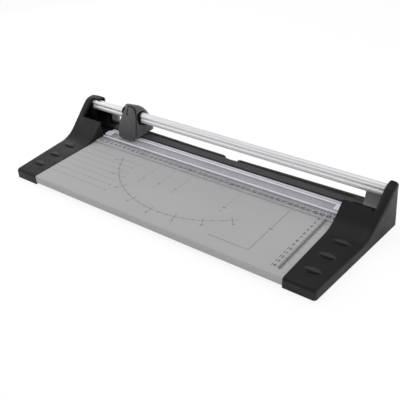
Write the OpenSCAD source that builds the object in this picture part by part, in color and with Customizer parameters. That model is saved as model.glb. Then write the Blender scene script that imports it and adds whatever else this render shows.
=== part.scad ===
// Rolling paper trimmer: a sheet-steel table between two moulded end caps,
// a cutting head with a round blade that slides on an aluminium rail,
// and a clear clamp strip that holds the paper along the cut.
// X runs along the cut, Y from front to back, Z up. The front of the caps is y = 0
// in every module, and set_in_frame() centres the whole machine over the origin.

/* [Table] */
// Width of the table between the end caps
table_w = 456; // [320:1:600]
// Depth of the end caps, front to back
depth = 207; // [195:1:260]
// Height of the table top above the desk
table_h = 17; // [16:0.5:22]
// Thickness of the table's steel sheet
sheet_t = 1.5; // [1:0.1:2]
// How far the front face of the table stands behind the front of the caps
lip_set_back = 1; // [0.5:0.1:3]
// Height of the gap under the front lip
lip_gap = 5; // [3.5:0.5:6]

/* [End caps] */
// Width of each end cap at its front
cap_w = 46; // [44:0.5:56]
// How much wider each end cap is at its back
cap_flare = 16; // [14:0.5:20]
// Wall thickness of the caps
cap_wall = 2.6; // [2:0.1:3.2]
// Height of the low front part of the caps above the table top
cap_rise = 0.8; // [0.2:0.1:2]
// Height of the inner edge where the ramp ends
plateau_h = 46; // [40:0.5:48]
// Distance of that edge from the back of the caps
plateau_inset = 46; // [44:0.5:50]
// Slope of the ramp in degrees
ramp_angle = 42; // [38:1:46]
// Radius of the hollow curve at the foot of the ramp
ramp_r = 45; // [30:1:50]
// Height of the arms above the top of the rail
arm_over = 4.5; // [3.5:0.1:8]
// Distance from the table to the inner face of the arms
arm_at = 45; // [43:0.5:46]
// Distance from the table to the hood that the left arm has over the end of the rail
hood_at = 30; // [26:0.5:36]
// Radius at the front of the arm's top
arm_r = 20; // [12:1:22]
// Radius at the back of the arm's top
arm_back_r = 6; // [3:0.5:8]
// Height of the platform behind the cut, and of the rear bar
platform_h = 25; // [23:0.5:25.5]
// Height of the lip along the back of the bar
bar_lip = 1.5; // [0.8:0.1:2]
// Distance from the table to the post under each end of the rail
post_inset = 15; // [14:0.5:20]
// Distance from the table to the end of the wall at the left post, where the head stops
stop_inset = 1; // [0.5:0.5:8]
// Thickness of the plates that close the caps below
plate_t = 2; // [1.5:0.1:3]
// Length of each raised grip on the caps
grip_l = 24; // [16:1:28]
// Width of each grip
grip_w = 13; // [8:1:14]
// Height of each grip
grip_h = 1.2; // [0.6:0.1:2]
// Distance between the grips
grip_pitch = 36; // [20:1:38]

/* [Feet] */
// Height of the rubber feet
foot_h = 2; // [1.8:0.1:3]
// Diameter of the rubber feet
foot_d = 13; // [8:0.5:16]

/* [Guide rail] */
// Diameter of each rounded lobe of the rail
lobe_d = 11; // [10:0.1:11.4]
// Distance between the two lobes
lobe_pitch = 8; // [7:0.1:8.4]
// Height of the lower lobe's centre
lobe_z = 53; // [52.6:0.1:53.5]
// Thickness of the web between the lobes
web_t = 7; // [4:0.1:9]
// Distance of the rail's middle from the back of the caps
rail_inset = 11; // [10.8:0.1:11.2]
// How far the rail reaches into each cap
rail_reach = 50; // [49:0.5:51]

/* [Cut line] */
// Distance of the cut from the back of the caps
cut_inset = 17; // [16.8:0.1:17.2]
// Thickness of the fixed knife along the table's back edge
knife_t = 2; // [1.5:0.1:3]
// Height of the fixed knife
knife_h = 9; // [6:0.5:10]
// Width of the gap that the round blade runs in
blade_gap = 2.5; // [2.3:0.1:3]

/* [Clamp strip] */
// Width of the clear strip, front to back
strip_w = 49; // [45:0.5:53]
// Thickness of the clear strip
strip_t = 1.6; // [1.4:0.1:1.8]
// Height of the strip above the table at rest
strip_lift = 1.2; // [0.8:0.1:1.3]
// Distance of the strip's back edge from the cut
strip_edge_gap = 0.6; // [0.4:0.1:1]
// Width of the raised land that the rollers run on
land_w = 5.5; // [5:0.5:7]
// Height of the land above the strip
land_h = 0.9; // [0.6:0.1:1.2]
// Distance of the rib from the strip's front edge
rib_inset = 21.5; // [18:0.5:25]
// Height of the rib above the strip
rib_h = 1.1; // [0.5:0.1:1.4]
// Gap between each end of the strip and the caps
strip_end_gap = 1.5; // [0.8:0.1:4]
// Height of the raised end pieces above the strip
end_piece_h = 3; // [2:0.1:3]
// Diameter of the strip's guide pins
strip_pin_d = 3.4; // [3:0.1:4]
// Wire diameter of the strip's springs
wire_d = 0.7; // [0.5:0.05:0.8]
// Outer diameter of the strip's springs
spring_d = 7.4; // [6.4:0.1:8]
// Number of turns in each spring
spring_turns = 6; // [4:1:7]

/* [Cutting head] */
// Distance of the head's middle from the left edge of the table at rest
head_at = 47.5; // [16:0.5:420]
// Height of the head above the top of the rail
head_over = 13; // [11:0.5:16]
// Width of the head at its foot, at the back
head_w = 58; // [54:1:60]
// Width of the head at the front
shield_w = 34; // [33:1:38]
// Width of the head at its top
head_top_w = 46; // [42:1:50]
// Distance from the shield's front to the cut
shield_reach = 23; // [22:0.5:24]
// How far the head stands out behind the caps
head_overhang = 4.5; // [4.2:0.1:6]
// Wall thickness of the head's shells
head_wall = 2.2; // [1.8:0.1:2.4]
// Clearance between the head and the clamp strip below it
head_gap = 3.2; // [3.1:0.1:3.6]
// Clearance between the glide bushes and the rail
slide_gap = 0.3; // [0.25:0.05:0.4]
// Wall thickness of the glide bushes
bush_t = 2; // [1.6:0.1:2.2]
// Length of each glide bush
bush_l = 8; // [6:0.5:9]

/* [Blade and rollers] */
// Diameter of the round blade
blade_d = 28; // [26:0.5:29]
// Thickness of the round blade
blade_t = 1; // [0.8:0.05:1.1]
// How far the blade reaches below the table top
blade_dip = 1.5; // [1:0.1:2]
// Diameter of the blade's axle
axle_d = 5; // [4:0.1:6]
// Running clearance of the blade and the rollers on their pins
run_gap = 0.05; // [0.03:0.01:0.08]
// Diameter of the press rollers
roller_d = 7; // [6:0.1:7.4]
// Length of the press rollers
roller_l = 3.6; // [3:0.1:4]
// Diameter of the rollers' pins
roller_pin_d = 2.5; // [2:0.1:3]
// Distance of each roller from the head's middle
roller_x = 10; // [9.6:0.1:10.4]
// Clearance between the rollers and the clamp strip at rest
roller_gap = 0.3; // [0.2:0.05:0.5]

/* [Fasteners] */
// Diameter of the screws in the caps and the bar
screw_d = 3; // [2.5:0.1:3.4]
// Diameter of the screws in the cutting head
small_screw_d = 2.2; // [1.8:0.1:2.4]
// Clearance round a screw in its hole
screw_gap = 0.05; // [0.03:0.01:0.1]
// Diameter of the rivets that hold the fixed knife
rivet_d = 3; // [2.5:0.1:3.5]
// Number of rivets along the knife
rivet_count = 7; // [3:2:11]

/* [Hidden] */
$fn = 48;
fit = 0.1;
eps = 0.5;

// Colours as they look on the machine
black_plastic = [0.16, 0.16, 0.17];
dark_plastic = [0.10, 0.10, 0.11];
grey_steel = [0.66, 0.67, 0.67];
bright_steel = [0.80, 0.81, 0.82];
aluminium = [0.86, 0.87, 0.88];
clear_plastic = [0.78, 0.78, 0.84, 0.45];
rubber = [0.08, 0.08, 0.08];
white_plastic = [0.90, 0.90, 0.88];

// Places along the depth, from the front of the caps
cut_y = depth - cut_inset;
knife_y = cut_y - knife_t;
bar_y = cut_y + blade_gap;
bar_back = depth - 0.6;
plateau_y = depth - plateau_inset;
rail_y = depth - rail_inset;
strip_back = cut_y - strip_edge_gap;
strip_front = strip_back - strip_w;
head_front = cut_y - shield_reach;
head_back = depth + head_overhang;
front_y = -(depth + head_overhang) / 2;

// Places across the width and the height
cap_x = table_w / 2;
arm_x = cap_x + arm_at;
hood_x = cap_x + hood_at;
cap_h = table_h + cap_rise;
under_table = table_h - sheet_t;
flange_z = lip_gap + 2;
trench_h = table_h - blade_dip - 2;
head_x = -table_w / 2 + head_at;
rail_top = lobe_z + lobe_pitch + lobe_d / 2;
arm_h = rail_top + arm_over;
head_h = rail_top + head_over;
cap_reach = cap_w + cap_flare;
function cap_width(y) = cap_w + cap_flare * y / depth;

// Heights of the clamp strip
strip_z = table_h + strip_lift;
strip_top = strip_z + strip_t;
land_z = strip_top + land_h;
end_piece_w = 14;
end_piece_d = 14;
strip_pin_x = table_w / 2 - strip_end_gap - end_piece_w / 2;
strip_pin_y = strip_front + rib_inset + 10;
cup_floor = lip_gap + 0.5;
cup_t = 1;
cup_d = spring_d + 1.6 + 2 * cup_t;
clip_t = 0.7;
clip_gap = 0.15;
groove_d = strip_pin_d - 0.8;
pin_foot = cup_floor - clip_gap - clip_t - 0.5;

// Heights and places in the cutting head
head_foot = land_z + head_gap;
head_back_foot = platform_h + bar_lip + 1.2;
parting_y = cut_y - 9;
blade_z = table_h - blade_dip + blade_d / 2;
blade_y = cut_y + run_gap;
frame_t = 4;
frame_y = cut_y - 13;
frame_back = frame_y + frame_t;
roller_z = land_z + roller_gap + roller_d / 2;
roller_y = strip_back - land_w / 2 - roller_l / 2;
washer_t = 0.5;
axle_head_t = 0.9;
axle_head_d = axle_d + 4;
boss_d = axle_d + 6;
low_screw_x = roller_x + 4.5;
low_screw_z = 38;
high_screw_x = 6;
high_screw_z = rail_top + 4;
head_boss_d = small_screw_d + 2.9;
rib_x = head_top_w / 2 - 8;
rib_t = 3;

// Outline of a cap from the side, as corners and their radii
ramp_run = 1 / tan(ramp_angle);
ramp_foot_y = plateau_y - (plateau_h - cap_h) * ramp_run;
arm_top_y = plateau_y + (arm_h - plateau_h) * ramp_run;
cap_corners = [[0, foot_h], [depth, foot_h], [depth, arm_h], [arm_top_y, arm_h],
    [ramp_foot_y, cap_h], [0, cap_h]];
cap_radii = [1, 1, arm_back_r, arm_r, ramp_r, 5];

// Outlines of the cutting head from the side, from above and from the front
side_corners = [[head_front, head_foot], [cut_y - 1, head_foot], [bar_y + 1.5, head_back_foot],
    [head_back, head_back_foot + 4], [head_back, head_h - 17], [head_back - 12, head_h],
    [head_front + 13, head_h], [head_front + 0.6, head_h - 23]];
side_radii = [2, 0, 0, 5, 8, 8, 12, 12];
plan_corners = [[-shield_w / 2, head_front], [shield_w / 2, head_front], [head_w / 2, head_back],
    [-head_w / 2, head_back]];
plan_radii = [7, 7, 5, 5];
front_corners = [[-head_w / 2, head_foot], [head_w / 2, head_foot], [head_top_w / 2, head_h],
    [-head_top_w / 2, head_h]];
front_radii = [0, 0, 17, 17];

// Functions that round and shrink an outline
function unit(v) = v / norm(v);
function turn(d) = d > 180 ? d - 360 : d < -180 ? d + 360 : d;
function arc_points(c, r, a, d, n) = [for (i = [0:n]) c + r * [cos(a + d * i / n), sin(a + d * i / n)]];
function corner_arc(c, r, s, e, n) =
    let (a = atan2(s.y - c.y, s.x - c.x), b = atan2(e.y - c.y, e.x - c.x))
    arc_points(c, r, a, turn(b - a), n);
function fillet(a, b, c, r, n) = r <= 0 ? [b] :
    let (u = unit(a - b), v = unit(c - b), h = acos(u * v) / 2)
    corner_arc(b + unit(u + v) * r / sin(h), r, b + u * r / tan(h), b + v * r / tan(h), n);
function before(p, i) = p[(i + len(p) - 1) % len(p)];
function after(p, i) = p[(i + 1) % len(p)];
function rounded(p, r, n = 6) =
    [for (i = [0:len(p) - 1]) each fillet(before(p, i), p[i], after(p, i), r[i], n)];
function normal_in(a, b) = let (d = unit(b - a)) [-d.y, d.x];
function shrunk_corner(a, b, c, w) =
    let (m = normal_in(a, b), n = normal_in(b, c)) b + (m + n) * w / (1 + m * n);
function shrunk(p, w) = [for (i = [0:len(p) - 1]) shrunk_corner(before(p, i), p[i], after(p, i), w)];
function bends_in(a, b, c) = cross(b - a, c - b) < 0;
function shrunk_radius(p, r, i, w) =
    r[i] == 0 ? 0 : bends_in(before(p, i), p[i], after(p, i)) ? r[i] + w : max(r[i] - w, 0.3);
function shrunk_radii(p, r, w) = [for (i = [0:len(p) - 1]) shrunk_radius(p, r, i, w)];
function inner_outline(p, r, w) = rounded(shrunk(p, w), shrunk_radii(p, r, w));

// Placing helpers
module set_in_frame() {
    translate([0, front_y, 0]) children();
}

module on_side(side) {
    mirror([side < 0 ? 1 : 0, 0, 0]) children();
}

module along_x(from, to) {
    translate([from, 0, 0]) rotate([90, 0, 90]) linear_extrude(to - from) children();
}

module along_y(from, to) {
    translate([0, to, 0]) rotate([90, 0, 0]) linear_extrude(to - from) children();
}

module rod_x(d, from, to, y, z) {
    translate([from, y, z]) rotate([0, 90, 0]) cylinder(d = d, h = to - from);
}

module rod_y(d, from, to, x, z) {
    translate([x, to, z]) rotate([90, 0, 0]) cylinder(d = d, h = to - from);
}

module rod_z(d, from, to, x, y) {
    translate([x, y, from]) cylinder(d = d, h = to - from);
}

module block(low, high) {
    translate(low) cube(high - low);
}

// A fastener that points along +Z, with its head below z = 0
module screw(d, l, head_d, head_t) {
    translate([0, 0, -head_t]) cylinder(d = head_d, h = head_t);
    cylinder(d = d, h = l);
}

// Table and what closes its back edge
cup_hole_d = spring_d + 1.6;
table_screw_y = [45, 140];
table_screw_z = table_h - 7;

module table_sheet() {
    back = knife_y;
    corners = [[lip_set_back, lip_gap], [lip_set_back + sheet_t, lip_gap],
        [lip_set_back + sheet_t, under_table], [back - sheet_t, under_table],
        [back - sheet_t, flange_z], [back, flange_z], [back, table_h], [lip_set_back, table_h]];
    along_x(-table_w / 2, table_w / 2) polygon(rounded(corners, [0, 0, 1, 1, 0, 0, 0, 2.5]));
    for (side = [-1, 1]) on_side(side)
        block([table_w / 2 - sheet_t, lip_set_back + sheet_t, flange_z],
            [table_w / 2, back - sheet_t, under_table]);
}

function rivet_x(i) = (i - (rivet_count - 1) / 2) * (table_w - 40) / (rivet_count - 1);
rivet_z = table_h - knife_h / 2 - 1;

module table() {
    color(grey_steel) set_in_frame() difference() {
        table_sheet();
        for (side = [-1, 1]) on_side(side) {
            rod_z(cup_hole_d, under_table - 1, table_h + 1, strip_pin_x, strip_pin_y);
            for (y = table_screw_y)
                rod_x(screw_d + 2 * screw_gap, table_w / 2 - 3, table_w / 2 + 1, y, table_screw_z);
        }
        for (i = [0:rivet_count - 1])
            rod_y(rivet_d + 2 * screw_gap, knife_y - 3, knife_y + 1, rivet_x(i), rivet_z);
    }
}

module lower_knife() {
    color(bright_steel) set_in_frame() difference() {
        block([-table_w / 2 + fit, knife_y, table_h - knife_h], [table_w / 2 - fit, cut_y, table_h]);
        for (i = [0:rivet_count - 1])
            rod_y(rivet_d + 2 * screw_gap, knife_y - 1, cut_y + 1, rivet_x(i), rivet_z);
    }
}

module knife_rivets() {
    color(bright_steel) set_in_frame() for (i = [0:rivet_count - 1])
        translate([rivet_x(i), knife_y - sheet_t, rivet_z]) rotate([-90, 0, 0])
            screw(rivet_d, sheet_t + knife_t, rivet_d + 2.4, 1.1);
}

// Rear bar behind the cut, with its slot and the shallow notch near its middle
bar_wall = 2.5;
bar_end = 8;
bar_foot = foot_h + 4;
bar_slope_w = 6;
bar_drop = 3;
lip_w = 2.6;
slot_w = 1.6;
slot_depth = 1.4;
notch_x = 17;
notch_r = 28;
notch_depth = 5;
bar_screw_z = [bar_foot + 4.5, platform_h - 6.5];
bar_screw_y = (bar_y + bar_back) / 2;

module rear_bar() {
    color(black_plastic) set_in_frame() difference() {
        along_x(-table_w / 2, table_w / 2) polygon([[bar_y, bar_foot], [bar_back, bar_foot],
            [bar_back, platform_h + bar_lip], [bar_back - lip_w, platform_h + bar_lip],
            [bar_back - lip_w, platform_h], [bar_y + bar_slope_w, platform_h],
            [bar_y, platform_h - bar_drop]]);
        block([-table_w / 2 + bar_end, bar_y + bar_wall, bar_foot - 1],
            [table_w / 2 - bar_end, bar_back - bar_wall, platform_h - bar_wall - bar_drop]);
        block([-table_w / 2 + 3, bar_back - lip_w - slot_w, platform_h - slot_depth],
            [table_w / 2 - 3, bar_back - lip_w, platform_h + 1]);
        rod_z(2 * notch_r, bar_foot - 1, platform_h + bar_lip + 1, notch_x,
            bar_back + notch_r - notch_depth);
        for (side = [-1, 1], z = bar_screw_z) on_side(side)
            rod_x(screw_d + 2 * screw_gap, table_w / 2 - bar_end + 1, table_w / 2 + 1, bar_screw_y, z);
    }
}

module bar_screws() {
    color(bright_steel) set_in_frame() for (side = [-1, 1], z = bar_screw_z) on_side(side)
        translate([cap_x + cap_wall, bar_screw_y, z]) rotate([0, -90, 0])
            screw(screw_d, cap_wall + bar_end - 2, screw_d + 2.4, 1.8);
}

module table_screws() {
    color(bright_steel) set_in_frame() for (side = [-1, 1], y = table_screw_y) on_side(side)
        translate([cap_x - sheet_t, y, table_screw_z]) rotate([0, 90, 0])
            screw(screw_d, sheet_t + cap_wall + 3, screw_d + 2.4, 1.8);
}

// End caps
plate_screw_at = [[9, 14], [cap_w - 9, 14], [9, 148], [cap_width(172) - 12, 172]];
plate_screw_top = table_h - cap_wall - 2;
holder_screw_at = [[arm_at + 3.6, rail_y + 2], [arm_at + 9.8, rail_y + 2]];
grip_at = [34, 34 + grip_pitch, 34 + 2 * grip_pitch];
hood_from = rail_y - 4;
hood_to = rail_y + 4;

// Keeps what lies inside the slanting outer side of a cap, less a wall
module within_cap(w) {
    intersection() {
        children();
        linear_extrude(arm_h + 1) polygon([[cap_x - 3, -1], [cap_x + cap_width(-1) - w, -1],
            [cap_x + cap_width(depth + 1) - w, depth + 1], [cap_x - 3, depth + 1]]);
    }
}

// The space under the floors of a cap, closed below by its base plate
module cap_base_space() {
    deep = trench_h - cap_wall;
    within_cap(cap_wall) along_x(cap_x + cap_wall, cap_x + cap_reach) polygon([
        [cap_wall, foot_h - 1], [depth - cap_wall, foot_h - 1], [depth - cap_wall, platform_h - cap_wall],
        [bar_y + cap_wall, platform_h - cap_wall], [bar_y + cap_wall, deep],
        [cut_y - 3, deep], [cut_y - 3, table_h - cap_wall], [cap_wall, table_h - cap_wall]]);
}

// The space under the ramp and inside the arm, open towards the table
module cap_arm_space() {
    intersection() {
        within_cap(cap_wall) along_x(cap_x - 1, cap_x + cap_reach)
            polygon(inner_outline(cap_corners, cap_radii, cap_wall));
        along_x(cap_x - 2, cap_x + cap_reach) polygon([
            [ramp_foot_y - ramp_r, table_h], [bar_y, table_h], [bar_y, platform_h],
            [depth, platform_h], [depth, arm_h], [ramp_foot_y - ramp_r, arm_h]]);
    }
}

// The open space over the platform, in front of the left arm's hood and beside the arm
module over_platform(side) {
    hood_end = side < 0 ? hood_x : arm_x;
    intersection() {
        along_x(cap_x - 1, arm_x) polygon([[bar_y - 1, platform_h - bar_drop],
            [bar_y, platform_h - bar_drop], [bar_y + bar_slope_w, platform_h],
            [depth + 1, platform_h], [depth + 1, arm_h + 1], [bar_y - 1, arm_h + 1]]);
        linear_extrude(arm_h + 2) polygon([[cap_x - 2, bar_y - 2], [arm_x, bar_y - 2], [arm_x, hood_from],
            [hood_end, hood_to], [hood_end, depth + 2], [cap_x - 2, depth + 2]]);
    }
}

// A raised lens-shaped grip that lies across the cap
module grip() {
    r = (grip_l * grip_l / 4 + grip_w * grip_w / 4) / grip_w;
    intersection() {
        translate([0, r - grip_w / 2, -1]) cylinder(r = r, h = grip_h + 1, $fn = 96);
        translate([0, grip_w / 2 - r, -1]) cylinder(r = r, h = grip_h + 1, $fn = 96);
    }
}

// The hollow post under the end of the rail, with a seat for its lower lobe
module rail_post() {
    post_x = cap_x + post_inset;
    post_y = bar_y + 2;
    rail_foot = lobe_z - lobe_d / 2;
    difference() {
        block([post_x, post_y, platform_h - cap_wall], [arm_x + eps, depth, rail_foot + 3]);
        block([post_x + cap_wall, post_y + cap_wall, 0],
            [arm_x - cap_wall, depth - cap_wall, rail_foot - cap_wall]);
        along_x(cap_x, arm_x + 1) rail_outline(fit);
    }
}

// The wall that goes on from the left post along the back, where the head stops
module head_stop() {
    block([cap_x + stop_inset, depth - cap_wall, platform_h - cap_wall],
        [cap_x + post_inset + eps, depth, lobe_z - lobe_d / 2 - 1]);
}

module end_cap(side) {
    on_side(side) difference() {
        union() {
            difference() {
                within_cap(0) along_x(cap_x, cap_x + cap_reach + 1) polygon(rounded(cap_corners, cap_radii));
                block([cap_x - 1, plateau_y, table_h], [arm_x, bar_y, arm_h + 1]);
                over_platform(side);
                difference() {
                    cap_arm_space();
                    block([cap_x - 2, plateau_y - cap_wall, 0], [arm_x, plateau_y, arm_h]);
                }
                cap_base_space();
                block([cap_x + post_inset + cap_wall, bar_y + 2 + cap_wall, foot_h],
                    [arm_x - cap_wall, depth - cap_wall, platform_h + 1]);
                block([cap_x - 1, cut_y - 0.3, trench_h], [arm_x, bar_y, table_h + 1]);
            }
            for (p = plate_screw_at)
                rod_z(screw_d + 4, foot_h + plate_t, table_h - cap_wall + eps, cap_x + p.x, p.y);
            for (y = grip_at)
                translate([cap_x + cap_width(y) / 2, y, cap_h]) grip();
            rail_post();
            if (side < 0) head_stop();
        }
        for (p = plate_screw_at)
            rod_z(screw_d + 2 * screw_gap, foot_h, plate_screw_top, cap_x + p.x, p.y);
        for (p = holder_screw_at)
            rod_z(screw_d + 2 * screw_gap, platform_h - cap_wall - 1, platform_h + 1, cap_x + p.x, p.y);
        for (y = table_screw_y)
            rod_x(screw_d + 2 * screw_gap, cap_x - 1, cap_x + cap_wall + 1, y, table_screw_z);
        for (z = bar_screw_z)
            rod_x(screw_d + 2 * screw_gap, cap_x - 1, cap_x + cap_wall + 1, bar_screw_y, z);
    }
}

module left_end_cap() {
    color(black_plastic) set_in_frame() end_cap(-1);
}

module right_end_cap() {
    color(black_plastic) set_in_frame() end_cap(1);
}

// Base plates, their screws and the feet
foot_at = [[cap_width(32) / 2, 32], [cap_width(depth - 20) / 2, depth - 20]];
foot_stem_d = 5;

module base_plate(side) {
    on_side(side) difference() {
        within_cap(cap_wall + fit)
            block([cap_x + cap_wall + fit, cap_wall + fit, foot_h],
                [cap_x + cap_reach, depth - cap_wall - fit, foot_h + plate_t]);
        for (p = plate_screw_at)
            rod_z(screw_d + 2 * screw_gap, foot_h - 1, foot_h + plate_t + 1, cap_x + p.x, p.y);
        for (p = foot_at)
            rod_z(foot_stem_d + 2 * screw_gap, foot_h - 1, foot_h + plate_t + 1, cap_x + p.x, p.y);
    }
}

module plate_screws(side) {
    head_t = 1.3;
    on_side(side) for (p = plate_screw_at)
        translate([cap_x + p.x, p.y, foot_h])
            screw(screw_d, plate_screw_top - foot_h - 1, screw_d + 2.6, head_t);
}

module rubber_foot(side, place) {
    on_side(side) {
        rod_z(foot_d, 0, foot_h, cap_x + place.x, place.y);
        rod_z(foot_stem_d, 0, foot_h + plate_t - fit, cap_x + place.x, place.y);
    }
}

module left_base_plate() {
    color(dark_plastic) set_in_frame() base_plate(-1);
}

module right_base_plate() {
    color(dark_plastic) set_in_frame() base_plate(1);
}

module left_plate_screws() {
    color(bright_steel) set_in_frame() plate_screws(-1);
}

module right_plate_screws() {
    color(bright_steel) set_in_frame() plate_screws(1);
}

module front_left_foot() {
    color(rubber) set_in_frame() rubber_foot(-1, foot_at[0]);
}

module front_right_foot() {
    color(rubber) set_in_frame() rubber_foot(1, foot_at[0]);
}

module rear_left_foot() {
    color(rubber) set_in_frame() rubber_foot(-1, foot_at[1]);
}

module rear_right_foot() {
    color(rubber) set_in_frame() rubber_foot(1, foot_at[1]);
}

// Guide rail and what holds its ends
rail_screw_d = screw_d + 0.5;
rail_screw_in = 12;
rail_end = cap_x + rail_reach;
holder_x = arm_x + 1;
holder_front = rail_y - lobe_d / 2 - 1.5;
holder_back = cap_x + cap_width(holder_front) - cap_wall - 2 * fit;
rail_head_t = 2;

// Outline of the rail, two lobes joined by a web, made larger by a clearance
module rail_outline(more) {
    for (z = [lobe_z, lobe_z + lobe_pitch])
        translate([rail_y, z]) circle(d = lobe_d + 2 * more);
    translate([rail_y - web_t / 2 - more, lobe_z]) square([web_t + 2 * more, lobe_pitch]);
}

module guide_rail() {
    color(aluminium) set_in_frame() difference() {
        along_x(-rail_end, rail_end) rail_outline(0);
        for (side = [-1, 1], z = [lobe_z, lobe_z + lobe_pitch]) on_side(side)
            rod_x(rail_screw_d + 2 * screw_gap, rail_end - rail_screw_in - 1, rail_end + 1, rail_y, z);
    }
}

module rail_holder(side) {
    on_side(side) difference() {
        intersection() {
            block([holder_x, holder_front, platform_h], [holder_back, depth - cap_wall - fit, arm_h]);
            along_x(holder_x - 1, holder_back + 1)
                polygon(inner_outline(cap_corners, cap_radii, cap_wall + 2 * fit));
        }
        along_x(holder_x - 1, rail_end) rail_outline(fit);
        for (z = [lobe_z, lobe_z + lobe_pitch]) {
            rod_x(rail_screw_d + 2 * screw_gap, rail_end - 1, holder_back + 1, rail_y, z);
            rod_x(rail_screw_d + 2.8, holder_back - rail_head_t - fit, holder_back + 1, rail_y, z);
        }
        for (p = holder_screw_at)
            rod_z(screw_d + 2 * screw_gap, platform_h - 1, platform_h + 9, cap_x + p.x, p.y);
    }
}

module rail_screws(side) {
    head_x = holder_back - rail_head_t - fit;
    on_side(side) for (z = [lobe_z, lobe_z + lobe_pitch])
        translate([head_x, rail_y, z]) rotate([0, -90, 0])
            screw(rail_screw_d, head_x - rail_end + rail_screw_in, rail_screw_d + 2.4, rail_head_t);
}

module holder_screws(side) {
    on_side(side) for (p = holder_screw_at)
        translate([cap_x + p.x, p.y, platform_h - cap_wall]) screw(screw_d, cap_wall + 8, screw_d + 2.4, 1.8);
}

module left_rail_holder() {
    color(dark_plastic) set_in_frame() rail_holder(-1);
}

module right_rail_holder() {
    color(dark_plastic) set_in_frame() rail_holder(1);
}

module left_rail_screws() {
    color(bright_steel) set_in_frame() rail_screws(-1);
}

module right_rail_screws() {
    color(bright_steel) set_in_frame() rail_screws(1);
}

module left_holder_screws() {
    color(bright_steel) set_in_frame() holder_screws(-1);
}

module right_holder_screws() {
    color(bright_steel) set_in_frame() holder_screws(1);
}

// Clamp strip with its rib, its roller land and the raised end pieces
strip_end = table_w / 2 - strip_end_gap;
rib_y = strip_front + rib_inset;
land_y = strip_back - land_w;
strip_bore_top = strip_top + end_piece_h - 0.8;

module clamp_strip() {
    color(clear_plastic) set_in_frame() difference() {
        along_x(-strip_end, strip_end) polygon([
            [strip_front, strip_z], [strip_back, strip_z], [strip_back, land_z - 0.3],
            [strip_back - 0.3, land_z], [land_y + 0.3, land_z], [land_y, land_z - 0.3],
            [land_y, strip_top], [rib_y + 1.6, strip_top], [rib_y + 0.5, strip_top + rib_h],
            [rib_y - 0.5, strip_top + rib_h], [rib_y - 1.6, strip_top],
            [strip_front + 0.8, strip_top], [strip_front, strip_top - 0.8]]);
        for (side = [-1, 1]) on_side(side)
            rod_z(strip_pin_d + 2 * screw_gap, strip_z - 1, strip_top + 1, strip_pin_x, strip_pin_y);
    }
}

module strip_end_piece(side) {
    low = [-end_piece_w / 2, -end_piece_d / 2];
    corners = [low, [-low.x, low.y], -low, [low.x, -low.y]];
    on_side(side) difference() {
        translate([strip_pin_x, strip_pin_y, strip_top]) linear_extrude(end_piece_h)
            polygon(rounded(corners, [3, 3, 3, 3]));
        rod_z(strip_pin_d + 2 * screw_gap, strip_top - 1, strip_bore_top, strip_pin_x, strip_pin_y);
    }
}

module left_strip_end() {
    color(clear_plastic) set_in_frame() strip_end_piece(-1);
}

module right_strip_end() {
    color(clear_plastic) set_in_frame() strip_end_piece(1);
}

module strip_pin(side) {
    groove_z = cup_floor - clip_gap - clip_t;
    on_side(side) difference() {
        rod_z(strip_pin_d, pin_foot, strip_bore_top, strip_pin_x, strip_pin_y);
        difference() {
            rod_z(strip_pin_d + 2, groove_z, groove_z + clip_t, strip_pin_x, strip_pin_y);
            rod_z(groove_d, groove_z - 1, groove_z + clip_t + 1, strip_pin_x, strip_pin_y);
        }
    }
}

module strip_clip(side) {
    groove_z = cup_floor - clip_gap - clip_t;
    on_side(side) difference() {
        rod_z(strip_pin_d + 3.6, groove_z, groove_z + clip_t, strip_pin_x, strip_pin_y);
        rod_z(groove_d + 2 * screw_gap, groove_z - 1, groove_z + clip_t + 1, strip_pin_x, strip_pin_y);
        block([strip_pin_x - groove_d / 2, strip_pin_y, groove_z - 1],
            [strip_pin_x + groove_d / 2, strip_pin_y + strip_pin_d + 4, groove_z + clip_t + 1]);
    }
}

module spring_cup(side) {
    on_side(side) difference() {
        union() {
            rod_z(cup_d, cup_floor, under_table, strip_pin_x, strip_pin_y);
            rod_z(cup_d + 2, under_table - cup_t, under_table, strip_pin_x, strip_pin_y);
        }
        rod_z(cup_d - 2 * cup_t, cup_floor + cup_t, under_table + 1, strip_pin_x, strip_pin_y);
        rod_z(strip_pin_d + 2 * 0.3, cup_floor - 1, under_table + 1, strip_pin_x, strip_pin_y);
    }
}

// A coil spring as one tube that follows a helix
spring_rings = 8;
spring_sides = 6;
spring_low = cup_floor + cup_t + wire_d / 2 + fit;
spring_high = strip_z - wire_d / 2 - fit;
spring_steps = spring_turns * spring_rings;
spring_r = (spring_d - wire_d) / 2;
spring_rise = (spring_high - spring_low) / spring_turns;
function ring_angle(i) = 360 * i / spring_rings;
function spring_point(i, k) =
    let (a = ring_angle(i), t = 360 * k / spring_sides, r = spring_r + wire_d / 2 * cos(t))
    [r * cos(a), r * sin(a), spring_low + spring_rise * i / spring_rings + wire_d / 2 * sin(t)];
function ring_index(i, k) = i * spring_sides + k % spring_sides;
echo(spring_gap = spring_rise - wire_d);

module strip_spring(side) {
    points = [for (i = [0:spring_steps], k = [0:spring_sides - 1]) spring_point(i, k)];
    walls = [for (i = [0:spring_steps - 1], k = [0:spring_sides - 1])
        each [[ring_index(i, k), ring_index(i + 1, k + 1), ring_index(i, k + 1)],
            [ring_index(i, k), ring_index(i + 1, k), ring_index(i + 1, k + 1)]]];
    caps = [for (k = [1:spring_sides - 2])
        each [[ring_index(0, 0), ring_index(0, k), ring_index(0, k + 1)],
            [ring_index(spring_steps, 0), ring_index(spring_steps, k + 1), ring_index(spring_steps, k)]]];
    translate([side * strip_pin_x, strip_pin_y, 0])
        polyhedron(points, [for (f = concat(walls, caps)) [f[0], f[2], f[1]]]);
}

module left_strip_pin() {
    color(bright_steel) set_in_frame() strip_pin(-1);
}

module right_strip_pin() {
    color(bright_steel) set_in_frame() strip_pin(1);
}

module left_strip_clip() {
    color(bright_steel) set_in_frame() strip_clip(-1);
}

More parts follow.
